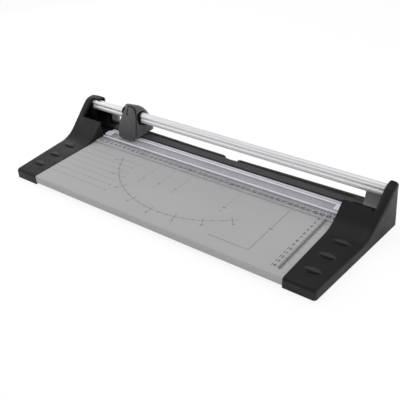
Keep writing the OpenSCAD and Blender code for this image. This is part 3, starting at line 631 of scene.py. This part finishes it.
def round_cap(bm, side):
    """Rounds the cap's outer rim and the rim of the arm's inner side."""
    def outer_rim(edge):
        outer = [face for face in edge.link_faces if face.normal.x * side > OUTER_FLAT]
        return len(outer) == 1 and max(vert.co.z for vert in edge.verts) > (CAP_FOOT + 1) * MM

    def arm_rim(edge):
        _, depth, up = place_of((edge.verts[0].co + edge.verts[1].co) / 2)
        on_rim = len(arm_faces(edge.link_faces, side)) == 1 and lies_at(edge, ARM_INNER)
        return on_rim and up > ARM_ROUNDING_LOW and depth < ARM_ROUNDING_BACK[side]

    round_over(bm, [edge for edge in bm.edges if outer_rim(edge)], OUTER_ROUNDING, 5)
    round_over(bm, [edge for edge in bm.edges if arm_rim(edge)], ARM_ROUNDING[side], 5)
    bm.normal_update()


def hollow_cap(bm, side):
    """Hollows the ramp, the arm and the underside, and draws the left arm's hood over the rail."""
    def ramp_side(across, depth, up, normal):
        at_table = normal.x * side < -FLAT and abs(abs(across) - TABLE_END) < NEAR
        return at_table and up > TABLE_TOP and RAMP_FOOT - 5 < depth < PLATEAU_BACK

    def hood_rim(across, depth, up):
        behind_rail = depth > HOOD_BACK and up > HOOD_LOW
        over_rail = up > HOOD_TOP and depth > HOOD_FRONT
        return behind_rail or over_rail

    ramp = faces_where(bm, ramp_side)
    inset(bm, ramp, CAP_WALL)
    for vert in draw_out(bm, ramp):
        vert.co.x = side * RAMP_HOLLOW * MM
    arm = arm_faces(bm.faces, side)
    rim = inset(bm, arm, CAP_WALL)
    for vert in draw_out(bm, arm):
        vert.co.x = side * (TABLE_END + cap_width(place_of(vert.co)[1]) - CAP_SKIN) * MM
    if side == LEFT:
        hood = [face for face in rim if hood_rim(*place_of(face.calc_center_median()))]
        for vert in draw_out(bm, hood):
            vert.co.x = side * HOOD_INNER * MM
    bm.normal_update()
    under = faces_where(bm, lambda across, depth, up, normal: normal.z < -FLAT and up < CAP_FOOT + 0.5)
    inset(bm, under, CAP_SKIN)
    bmesh.ops.translate(bm, vec=UNDER_HOLLOW * MM * UPWARD, verts=draw_out(bm, under))
    close_up(bm)


def lean_arm(bm, side):
    """Leans the arm's outer side in towards its top and its back."""
    lean_start, lean_run, lean_rise = 172, 34, 62
    for up in range(26, 59, 8):
        split(bm, bm.faces[:], at(0, 0, up), UPWARD)
    for depth in range(lean_start, 197, 8):
        split(bm, bm.faces[:], at(0, depth, 0), INWARD)
    for vert in bm.verts:
        across, depth, up = place_of(vert.co)
        share = (abs(across) - ARM_INNER) / (TABLE_END + cap_width(depth) - ARM_INNER)
        back = gone(depth, lean_start, lean_run) ** 2
        vert.co.x -= side * ARM_LEAN * max(share, 0) * back * gone(up, 0, lean_rise) * MM


def end_cap(side, name, node):
    """The moulded cap with its low front, ramp, plateau and arm."""
    bm = cap_body(side)
    round_cap(bm, side)
    hollow_cap(bm, side)
    lean_arm(bm, side)
    return piece(name, bm, black_moulding, "base", (node,), edge=0.7)


def rail_post(side, name):
    """The wall behind the platform that carries the rail, swept up from the bar."""
    bm = bmesh.new()
    long_bar(bm, POST_SIDE, POST_RADII, side * POST_NEAR, side * (ARM_INNER + 1), 6)
    start, end = sorted((side * (TABLE_END + BAR_JOINT), side * LIP_END))
    front, back = LIP_FRONT - LIP_SEAT_ROOM, LIP_BACK + LIP_SEAT_ROOM
    block(bm, (start, front, LIP_SEAT_LOW), (end, back, LIP_TOP + LIP_SEAT_ROOM), rounding=0.4)
    close_up(bm)
    # Painted light and shade: the right post's black plastic is written light grey, the left post
    # near-black for the shade in its pocket
    finish = post_painted_light_moulding if side == RIGHT else bush_and_painted_shade_moulding
    return piece(name, bm, finish, "base", edge=0.5)


def stop_wall():
    """The low wall at the left end that stops the head, with a pad turned to the back."""
    bm = bmesh.new()
    rounded_face(bm, STOP_OUTLINE, STOP_RADII, lambda along, up: at(along, STOP_FRONT, up), 4)
    bmesh.ops.translate(bm, vec=STOP_THICK * MM * INWARD, verts=draw_out(bm, bm.faces[:]))
    pad = (STOP_FACE - STOP_PAD_WIDTH, STOP_PAD_FRONT, STOP_PAD_LOW)
    block(bm, pad, (STOP_FACE, STOP_PAD_BACK, STOP_TOP), rounding=0.8)
    close_up(bm)
    # The wall's black plastic is written light grey, painted light
    return piece("stop_wall", bm, post_painted_light_moulding, "base", edge=0.5)


def bar_lip():
    """The rear lip of the bar, swept up towards both ends, and the bar's end on the right platform."""
    bm = bmesh.new()
    run = LIP_END - LIP_LEVEL
    for start, end in ((-LIP_END, -LIP_LEVEL), (LIP_LEVEL, LIP_END)):
        block(bm, (start, LIP_FRONT, LIP_LOW), (end, LIP_BACK, LIP_TOP))
    block(bm, (TABLE_END + BAR_JOINT, BAR_END_FRONT, POST_FOOT), (LIP_END, BAR_END_BACK, BAR_END_TOP))
    for side in (LEFT, RIGHT):
        for step in range(1, LIP_STEPS):
            split(bm, bm.faces[:], at(side * (LIP_LEVEL + run * step / LIP_STEPS), 0, 0), ACROSS)
    for vert in bm.verts:
        along, _, up = place_of(vert.co)
        if up > LIP_TOP - NEAR:
            vert.co.z += LIP_RISE * MM * gone(abs(along), LIP_LEVEL, run) ** LIP_CURVE
    close_up(bm)
    return piece("bar_lip", bm, bar_painted_light_moulding, "base", edge=0.4)


def cap_grips(side, name):
    """Three lens-shaped raised grips on the cap's low front, their tops a lighter grey as painted light
    and their front faces near-black as painted shade.
    """
    bm = bmesh.new()
    radius = (GRIP_HALF ** 2 + GRIP_BULGE ** 2) / (2 * GRIP_BULGE)
    turn = 2 * asin(GRIP_HALF / radius)
    for depth in GRIP_DEPTHS:
        start = bm.verts.new(-GRIP_HALF * MM * ACROSS)
        middle = (GRIP_BULGE - radius) * MM * INWARD
        bmesh.ops.spin(bm, geom=[start], cent=middle, axis=-UPWARD, angle=turn, steps=14)
        line = [edge for edge in bm.edges if not edge.link_faces]
        bmesh.ops.spin(bm, geom=line, cent=(0, 0, 0), axis=ACROSS, angle=2 * pi, steps=24, use_merge=True)
        fresh = [vert for vert in bm.verts if not vert.tag]
        bmesh.ops.scale(bm, vec=(1, 1, GRIP_FLATNESS), verts=fresh)
        seat = at(side * (TABLE_END + cap_width(depth) / 2), depth, CAP_TOP - GRIP_SINK)
        bmesh.ops.translate(bm, vec=seat, verts=fresh)
        for vert in fresh:
            vert.tag = True
    close_up(bm)
    made = piece(name, bm, grip_painted_light_moulding, "base", smooth=60)
    # Faces turned to the front take the near-black finish, painted shade on the grips' front sides
    made.data.materials.append(bush_and_painted_shade_moulding)
    for face in made.data.polygons:
        face.material_index = 1 if face.normal.y < -0.3 else 0
    return made


def guide_rail():
    """The drawn rail: two rounded lobes with a groove between them."""
    bm = bmesh.new()
    waist = (HIGH_LOBE - LOW_LOBE) / 2
    open_angle = acos(waist / LOBE_RADIUS)
    sweep = 2 * (pi - open_angle)
    tip = [bm.verts.new(at(-RAIL_END, RAIL_DEPTH + LOBE_RADIUS * sin(open_angle), LOW_LOBE + waist))]
    for lobe in (HIGH_LOBE, LOW_LOBE):
        middle = at(-RAIL_END, RAIL_DEPTH, lobe)
        made = bmesh.ops.spin(bm, geom=tip, cent=middle, axis=ACROSS, angle=sweep, steps=28)
        tip = only(BMVert, made["geom_last"])
    bmesh.ops.remove_doubles(bm, verts=bm.verts, dist=TOUCH)
    bmesh.ops.contextual_create(bm, geom=bm.edges[:])
    bmesh.ops.translate(bm, vec=2 * RAIL_END * MM * ACROSS, verts=draw_out(bm, bm.faces[:]))
    close_up(bm)
    return piece("guide_rail_extrusion", bm, rail_metal, "base", ("guide_rail",), edge=0.4)


class Station:
    """A section of the head: its depth, half widths, foot, crown and how square each side is."""

    def __init__(self, depth, left, right, foot, crown, left_square, right_square):
        self.values = (depth, left, right, foot, crown, left_square, right_square)

    def place(self, angle):
        depth, left, right, foot, crown, left_square, right_square = self.values
        half, square = (right, right_square) if cos(angle) > 0 else (-left, left_square)
        across = abs(cos(angle)) ** (2 / square) * half
        return at(HEAD_MIDDLE + across, depth, foot + abs(sin(angle)) ** (2 / square) * (crown - foot))


HEAD_NOSE = Station(168.5, 12.0, 11.0, HEAD_FOOT, 42.0, 2.6, 3.6)
HEAD_TAIL = Station(211.4, 28.3, 28.3, 32.2, 68.6, 2.2, 2.2)
HEAD_FORM = (HEAD_NOSE,
             Station(170.0, 15.6, 14.6, HEAD_FOOT, 51.0, 2.5, 3.8),
             Station(173.0, 18.0, 16.6, HEAD_FOOT, 59.5, 2.3, 4.0),
             Station(178.0, 19.6, 17.4, HEAD_FOOT, 68.0, 2.1, 4.2),
             Station(184.0, 20.6, 17.8, HEAD_FOOT, 75.6, 2.0, 4.2),
             Station(190.5, 21.6, 20.6, 25.0, 79.4, 2.3, 4.2),
             Station(196.0, 24.2, 24.0, 28.0, 76.8, 3.8, 4.4),
             Station(203.0, 26.8, 26.8, 30.0, 73.0, 3.2, 3.4),
             Station(210.2, 28.9, 28.9, 31.6, 69.8, 2.2, 2.2),
             HEAD_TAIL)


def on_curve(a, b, c, d, t):
    """A value between b and c on the smooth curve through four values."""
    return b + 0.5 * t * (c - a + t * (2 * a - 5 * b + 4 * c - d + t * (3 * (b - c) + d - a)))


def between(stations, steps):
    """More stations, on a smooth curve through the ones given."""
    rows = [stations[0].values] + [station.values for station in stations] + [stations[-1].values]
    made = []
    for four in zip(rows, rows[1:], rows[2:], rows[3:]):
        for step in range(steps):
            made.append(Station(*(on_curve(*values, step / steps) for values in zip(*four))))
    return made + [stations[-1]]


def arch_loft():
    """The head's whole arched skin, drawn out from its nose to its tail."""
    bm = bmesh.new()
    start = bm.verts.new(ACROSS)
    bmesh.ops.spin(bm, geom=[start], cent=(0, 0, 0), axis=-INWARD, angle=pi, steps=48)
    ring = bm.edges[:]
    angles = {vert: acos(min(max(vert.co.x, -1), 1)) for vert in bm.verts}

    def angle_near(place):
        return min(angles.items(), key=lambda pair: (pair[0].co - place).length)[1]

    for station in between(HEAD_FORM, 3):
        if station.values[0] > HEAD_NOSE.values[0]:
            made = bmesh.ops.extrude_edge_only(bm, edges=ring)["geom"]
            ring = only(BMEdge, made)
            angles = {vert: angle_near(vert.co) for vert in only(BMVert, made)}
        for vert, angle in angles.items():
            vert.co = station.place(angle)
    return bm


def close_end(bm, depth):
    """Fills the skin's end at that depth and gives the new faces."""
    ring = [edge for edge in bm.edges if len(edge.link_faces) == 1
            and all(abs(place_of(vert.co)[1] - depth) < NEAR for vert in edge.verts)]
    return bmesh.ops.contextual_create(bm, geom=ring)["faces"]


def seam_plane():
    """The foot of the plane where the head's halves meet, and its direction."""
    foot = at(0, *SEAM_FOOT)
    run = at(0, *SEAM_CROWN) - foot
    return foot, Vector((0, run.z, -run.y)).normalized()


def part_at_seam(bm, front):
    """Keeps one side of the seam, and turns its edge in as a groove."""
    foot, normal = seam_plane()
    outward = normal if front else -normal
    rim = foot - outward * SEAM_GAP * MM
    cut_off(bm, rim, outward)
    ring = [edge for edge in bm.edges if len(edge.link_faces) == 1
            and all(abs((vert.co - rim).dot(normal)) < TOUCH for vert in edge.verts)]
    for vert in only(BMVert, bmesh.ops.extrude_edge_only(bm, edges=ring)["geom"]):
        _, depth, up = place_of(vert.co)
        middle = at(HEAD_MIDDLE, depth, min(up, SEAM_ARCH_FOOT))
        vert.co += (middle - vert.co).normalized() * SEAM_DEPTH * MM + outward * SEAM_SKEW * MM


def thicken(bm):
    """Turns the skin outwards and gives it the head's wall."""
    bmesh.ops.recalc_face_normals(bm, faces=bm.faces)
    middle = at(HEAD_MIDDLE, *HEAD_CORE)
    outward = sum(face.normal.dot(face.calc_center_median() - middle) for face in bm.faces)
    if outward < 0:
        bmesh.ops.reverse_faces(bm, faces=bm.faces)
    bmesh.ops.solidify(bm, geom=bm.faces[:], thickness=HEAD_WALL * MM)
    bmesh.ops.remove_doubles(bm, verts=bm.verts, dist=TOUCH)


def head_shield():
    """The front half: a tall bullet-shaped shield that leans back to its crown."""
    bm = arch_loft()
    nose = close_end(bm, HEAD_NOSE.values[0])
    inset(bm, nose, NOSE_INSET)
    nose_verts = once(vert for face in nose for vert in face.verts)
    bmesh.ops.translate(bm, vec=-NOSE_PROUD * MM * INWARD, verts=nose_verts)
    part_at_seam(bm, True)
    thicken(bm)
    return piece("head_shield", bm, head_painted_light_moulding, "head", ("head_front_shell",), smooth=40)


def open_side(bm, side):
    """Cuts the oval opening for the rail through one side of the skin."""
    def near_rail(across, depth, up, normal):
        outside = side * (across - HEAD_MIDDLE) > HEAD_CORE_HALF
        level = LOW_LOBE - OPENING_REACH < up < HIGH_LOBE + OPENING_REACH
        return outside and level and abs(depth - OPENING_DEPTH) < OPENING_REACH

    inside = faces_where(bm, near_rail)
    for step in range(OPENING_SIDES):
        angle = 2 * pi * (step + 0.5) / OPENING_SIDES
        outward = Vector((0, cos(angle), sin(angle)))
        middle = at(0, OPENING_DEPTH, HIGH_LOBE if angle < pi else LOW_LOBE)
        rim = middle + outward * OPENING_RADIUS * MM
        parts = split(bm, inside, rim, outward)
        inside = [face for face in parts if (face.calc_center_median() - rim).dot(outward) < 0]
    bmesh.ops.delete(bm, geom=inside, context="FACES")


def head_hood():
    """The rear half: a hood that widens to the back, with the rail through its sides."""
    bm = arch_loft()
    close_end(bm, HEAD_TAIL.values[0])
    part_at_seam(bm, False)
    for side in (LEFT, RIGHT):
        open_side(bm, side)
    thicken(bm)
    return piece("head_hood", bm, head_painted_light_moulding, "head", ("head_rear_shell",), smooth=40)


def seam_tongue():
    """The near-black tongue inside the head, behind the seam of its two halves, a sheet that paints the
    shade in the seam.
    """
    bm = arch_loft()
    foot, normal = seam_plane()
    for outward in (-normal, normal):
        cut_off(bm, foot + outward * TONGUE_HALF * MM, outward)
    for vert in bm.verts:
        across, depth, up = place_of(vert.co)
        across = HEAD_MIDDLE + (across - HEAD_MIDDLE) * TONGUE_WIDTH_SHARE
        vert.co = at(across, depth, HEAD_FOOT + (up - HEAD_FOOT) * TONGUE_HEIGHT_SHARE)
    thicken(bm)
    return piece("seam_tongue", bm, bush_and_painted_shade_moulding, "head", smooth=40)


def hook_mark(shield):
    """The small hook-shaped bead near the top of the head's shield, laid on its face; its near-black
    colour paints the shade of the hook-shaped relief there.
    """
    bm = bmesh.new()
    tip, top = HOOK_TIP
    turn, low = HOOK_TURN
    start = bm.verts.new(Vector((tip, 0, top)) * MM)
    down = bm.verts.new(Vector((turn, 0, low)) * MM)
    bm.edges.new((start, down))
    middle = Vector((HOOK_MIDDLE, 0, low)) * MM
    bmesh.ops.spin(bm, geom=[down], cent=middle, axis=-INWARD, angle=HOOK_SWEEP, steps=9)
    bmesh.ops.remove_doubles(bm, verts=bm.verts, dist=TOUCH)
    straight = [edge for edge in bm.edges if edge.calc_length() > 3 * MM]
    bmesh.ops.subdivide_edges(bm, edges=straight, cuts=4)
    for vert in only(BMVert, bmesh.ops.extrude_edge_only(bm, edges=bm.edges[:])["geom"]):
        middle = Vector((HOOK_MIDDLE, 0, max(vert.co.z / MM, low))) * MM
        vert.co += (middle - vert.co).normalized() * HOOK_WIDTH * MM
    bpy.context.view_layer.update()
    for vert in bm.verts:
        _, spot, _, _ = shield.ray_cast(vert.co - RAY_START * MM * INWARD, INWARD)
        vert.co = spot - HOOK_PROUD * MM * INWARD
    bmesh.ops.recalc_face_normals(bm, faces=bm.faces)
    bmesh.ops.solidify(bm, geom=bm.faces[:], thickness=HOOK_THICK * MM)
    return piece("shield_hook", bm, bush_and_painted_shade_moulding, "head")


def clamp_strip():
    """The clear strip: a flat plate with a rib, a raised back band and bright lines along its back, the
    rib, the step and the lines in a pale plastic that paints their highlights.
    """
    body = bmesh.new()
    long_bar(body, STRIP_SIDE, STRIP_RADII, -STRIP_END, STRIP_END, 4)
    close_up(body)
    piece("clear_strip", body, strip_acrylic, "clamp", ("clamp_strip",))
    for name, section in STRIP_RIBS.items():
        rib = bmesh.new()
        long_bar(rib, section, RIB_RADII, -STRIP_END, STRIP_END, 4)
        close_up(rib)
        piece(name, rib, painted_highlight_acrylic, "clamp")
    for name, (near, far) in BACK_LINES.items():
        band = bmesh.new()
        reach = STRIP_END - BACK_LINE_INSET
        block(band, (-reach, *near), (reach, *far), rounding=0.2)
        piece(name, band, painted_highlight_acrylic, "clamp")


def stroke(bm, start, end, width, up=PRINT_UP):
    """A thin printed line between two places at one height."""
    first, last = at(*start, up), at(*end, up)
    run = last - first
    made = bmesh.ops.create_grid(bm, x_segments=1, y_segments=1, size=0.5)["verts"]
    bmesh.ops.scale(bm, vec=(run.length, width * MM, 1), verts=made)
    turn = Matrix.Rotation(run.to_2d().angle_signed(Vector((1, 0))), 3, "Z")
    bmesh.ops.rotate(bm, cent=(0, 0, 0), matrix=turn, verts=made)
    bmesh.ops.translate(bm, vec=(first + last) / 2, verts=made)


def number(bm, words, across, depth, height, up=PRINT_UP, bold=0.0):
    """A printed number, centred on a place."""
    curve = bpy.data.curves.new("number", "FONT")
    curve.body = words
    curve.size = height * FONT_SIZE_OF_DIGIT * MM
    curve.offset = bold * MM
    curve.align_x = "CENTER"
    curve.align_y = "CENTER"
    curve.resolution_u = 3
    holder = bpy.data.objects.new("number", curve)
    bpy.context.collection.objects.link(holder)
    graph = bpy.context.evaluated_depsgraph_get()
    flat = bpy.data.meshes.new_from_object(holder.evaluated_get(graph))
    flat.transform(Matrix.Translation(at(across, depth, up)))
    bm.from_mesh(flat)
    bpy.data.objects.remove(holder)
    bpy.data.curves.remove(curve)
    bpy.data.meshes.remove(flat)


def tick(step, whole, lengths):
    """The length of a mark: long at each whole, middling at each half, short elsewhere."""
    long, middling, short = lengths
    if step % whole == 0:
        return long
    return middling if step % (whole // 2) == 0 else short


def length_scale():
    """The long scale printed on the strip in front of its rib, in centimetres from the left."""
    bm = bmesh.new()
    start, line, number_line = -TABLE_END + 3, 158.6, 147.4
    for step in range(451):
        across = start + step
        width = 0.8 if step % 5 == 0 else 0.42
        end = line - tick(step, 10, (6.2, 4.6, 3.0))
        stroke(bm, (across, line), (across, end), width, STRIP_PRINT_UP)
        if step % 10 == 0 and step:
            number(bm, str(step // 10), across, number_line, height=6.0, up=STRIP_PRINT_UP, bold=0.32)
    return piece("length_scale", bm, ink, "clamp")


def side_scale():
    """The scale along the right end: centimetres on one side of its line, inches on the other."""
    bm = bmesh.new()
    line, number_line, start = 215.5, 205.1, 158
    stroke(bm, (line, 14), (line, 159), width=0.9)
    for step in range(144):
        depth = start - step
        stroke(bm, (line, depth), (line - tick(step, 10, (6.5, 5.0, 3.4)), depth), width=0.56)
        if step % 10 == 0 and step:
            number(bm, str(step // 10), number_line, depth, height=5.0, bold=0.2)
    for step in range(92):
        depth = start - step * INCH / 16
        stroke(bm, (line, depth), (line + tick(step, 16, (6.0, 4.4, 2.8)), depth), width=0.5)
    return piece("side_scale", bm, ink, "base")


def angle_scale():
    """The arc of angles, with a mark and a number every fifteen degrees."""
    bm = bmesh.new()
    radius, middle, marks_turn = 160.0, 190, -3
    long_mark, short_mark, number_reach, table_front = 7, 2.4, 10.5, 8

    def spot(angle, reach):
        return sin(angle) * reach, middle - cos(angle) * reach

    sweep = [radians(angle) for angle in range(-66, 46)]
    for first, last in zip(sweep, sweep[1:]):
        stroke(bm, spot(first, radius), spot(last, radius), width=0.55)
    for angle in range(-65, 46, 5):
        turn = radians(angle + marks_turn)
        if angle % 15 == 0:
            stroke(bm, spot(turn, radius - long_mark), spot(turn, radius + long_mark), width=0.6)
            across, depth = spot(turn, radius + number_reach)
            if depth > table_front:
                number(bm, str(90 - abs(angle)), across, depth, height=3.6)
        else:
            stroke(bm, spot(turn, radius - short_mark), spot(turn, radius + short_mark), width=0.45)
    return piece("angle_scale", bm, ink, "base")


def size_lines():
    """The lines for common sheet sizes: cross lines at the left, and lines from front to back."""
    bm = bmesh.new()
    fine, broad = 0.4, 0.6
    line_start, line_end, row_number = -TABLE_END + 4, -108, -103
    for row in range(7):
        depth = 33 + 14.5 * row
        stagger = 4 * (row % 3)
        stroke(bm, (line_start, depth), (line_end - stagger, depth), fine)
        number(bm, str(15 - row), row_number - stagger, depth, height=3.2)

    dash_start, dash_gap, dash_length = 98, 8, 5
    for across, words in ((-75, "15"), (-43.5, "18"), (-10.5, "21"), (79, "30")):
        for dash in range(5):
            near = dash_start + dash_gap * dash
            stroke(bm, (across, near), (across, near + dash_length), fine)
        number(bm, words, across, 91.5, height=4.2)
        stroke(bm, (across, 78), (across, 86), fine)

    long_line, corner = 162, 26
    stroke(bm, (98, 25.2), (long_line, corner), broad)
    stroke(bm, (long_line, corner), (long_line, 76), broad)
    number(bm, "39", long_line, 81.5, height=4.6)
    stroke(bm, (long_line, 87), (long_line, 137), broad)
    return piece("size_lines", bm, ink, "base")


end_cap(LEFT, "left_cap_moulding", "left_end_cap")
end_cap(RIGHT, "right_cap_moulding", "right_end_cap")
rail_post(LEFT, "left_rail_post")
rail_post(RIGHT, "right_rail_post")
stop_wall()
bar_lip()
cap_grips(LEFT, "left_cap_grips")
cap_grips(RIGHT, "right_cap_grips")
guide_rail()
hook_mark(head_shield())
head_hood()
seam_tongue()
clamp_strip()
length_scale()
side_scale()
angle_scale()
size_lines()

# The finishes of the solids that stay as they are, those that come in pairs apart
FINISHES = {
    "table": table_paint,
    "lower_knife": knife_steel,
    "rear_bar": bar_painted_light_moulding,
    "round_blade": blade_steel,
    "blade_washer": zinc_steel,
    "blade_axle": zinc_steel,
    "head_frame": inner_moulding,
}
PAIRED_FINISHES = {
    "base_plate": inner_moulding,
    "rail_holder": inner_moulding,
    "glide_bush": bush_and_painted_shade_moulding,
    "press_roller": nylon,
    "strip_end": painted_highlight_acrylic,
    "spring_cup": nylon,
}
for name, finish in PAIRED_FINISHES.items():
    FINISHES["left_" + name] = finish
    FINISHES["right_" + name] = finish
for name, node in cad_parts.items():
    finish = FINISHES.get(name, rubber if name.endswith("_foot") else zinc_steel)
    for holder in node.material_slots:
        holder.material = finish

# Each lamp's place and width in metres, and its power in watts
LAMPS = (("overhead", (-0.1, 0.2, 1.35), 1.3, 4.6),
         ("right_side", (1.3, 0.25, 0.3), 0.5, 3.4),
         ("left_back", (-0.875, 0.49, 0.44), 0.5, 1.2),
         ("left_front", (-0.87, -0.36, 0.585), 0.5, 1.7))
WHITE = (1, 1, 1, 1)

# How much of the floor is plain white before the camera, and how much in the trimmer's gloss
FLOOR_WHITE = 0.86
FLOOR_WHITE_IN_GLOSS = 0.15

# How strongly the surround lights the trimmer, and how strongly it shows in its gloss
SOFT_LIGHT = 0.84
GLOSS_LIGHT = 0.17


def floor_sheet():
    """A pale floor that runs out to white before the camera and keeps the trimmer's shadow."""
    bm = bmesh.new()
    bmesh.ops.create_grid(bm, x_segments=1, y_segments=1, size=20)
    mesh = bpy.data.meshes.new("floor")
    bm.to_mesh(mesh)
    bm.free()
    floor = bpy.data.objects.new("floor", mesh)
    bpy.context.collection.objects.link(floor)
    pale = Finish("floor_paper")
    soft = pale.noise(40, 3, 0.5)
    pale.surface(Base_Color=pale.blend(shade(243), shade(246), soft), Roughness=0.9)
    glow = pale.node("ShaderNodeEmission", {}, {"Color": WHITE, "Strength": 1.0})
    lit = Value(pale, pale.shader.outputs[0])
    share = pale.ray("Is Camera Ray") * FLOOR_WHITE + pale.ray("Is Glossy Ray") * FLOOR_WHITE_IN_GLOSS
    mixed = pale.node("ShaderNodeMixShader", {}, {0: share, 1: lit, 2: glow})
    pale.feed(pale.tree.nodes["Material Output"].inputs["Surface"], mixed)
    mesh.materials.append(pale.material)


def surround():
    """A white surround: full to the camera and to rays through glass, dimmer as light and in gloss."""
    world = bpy.data.worlds.new("surround")
    bpy.context.scene.world = world
    sky = Nodes(world)
    seen = sky.ray("Is Camera Ray").or_more(sky.ray("Is Transmission Ray"))
    light = SOFT_LIGHT - (SOFT_LIGHT - GLOSS_LIGHT) * sky.ray("Is Glossy Ray")
    back = sky.tree.nodes["Background"]
    sky.feed(back.inputs["Color"], WHITE)
    sky.feed(back.inputs["Strength"], seen.or_more(light))


def lamps():
    """Soft square lamps, all turned to the middle of the trimmer."""
    for name, spot, size, power in LAMPS:
        lamp = bpy.data.lights.new(name, "AREA")
        lamp.shape = "SQUARE"
        lamp.size = size
        lamp.energy = power
        holder = bpy.data.objects.new(name, lamp)
        holder.location = spot
        holder.rotation_euler = (-Vector(spot)).to_track_quat("-Z", "Y").to_euler()
        bpy.context.collection.objects.link(holder)


# The camera: the photograph's size, focal length and optical middle in pixels, and where it stands
PICTURE = 400
FOCAL_LENGTH = 646.837
OPTICAL_MIDDLE = (166.598, 207.583)
CAMERA_TURN = radians(41.06)
CAMERA_RISE = radians(33.388)
CAMERA_ROLL = radians(-4.427)
CAMERA_TARGET = Vector((12.105, -63.677, 20)) * MM
CAMERA_DISTANCE = 939.853
SENSOR = 36


def camera():
    """The camera at the photograph's angle."""
    level_share = cos(CAMERA_RISE)
    back = Vector((sin(CAMERA_TURN) * level_share, -cos(CAMERA_TURN) * level_share, sin(CAMERA_RISE)))
    right = Vector((cos(CAMERA_TURN), sin(CAMERA_TURN), 0))
    up = back.cross(right)
    level = right * cos(CAMERA_ROLL) + up * sin(CAMERA_ROLL)
    upward = up * cos(CAMERA_ROLL) - right * sin(CAMERA_ROLL)
    spot = CAMERA_TARGET + back * CAMERA_DISTANCE * MM
    lens = bpy.data.cameras.new("camera")
    lens.sensor_width = SENSOR
    lens.lens = FOCAL_LENGTH / PICTURE * SENSOR
    lens.shift_x = (PICTURE / 2 - OPTICAL_MIDDLE[0]) / PICTURE
    lens.shift_y = (OPTICAL_MIDDLE[1] - PICTURE / 2) / PICTURE
    lens.clip_start = 0.01
    holder = bpy.data.objects.new("camera", lens)
    axes = Matrix((level, upward, back)).transposed()
    holder.matrix_world = Matrix.Translation(spot) @ axes.to_4x4()
    bpy.context.collection.objects.link(holder)
    bpy.context.scene.camera = holder


floor_sheet()
surround()
lamps()
camera()
bpy.context.scene.view_settings.view_transform = "Standard"
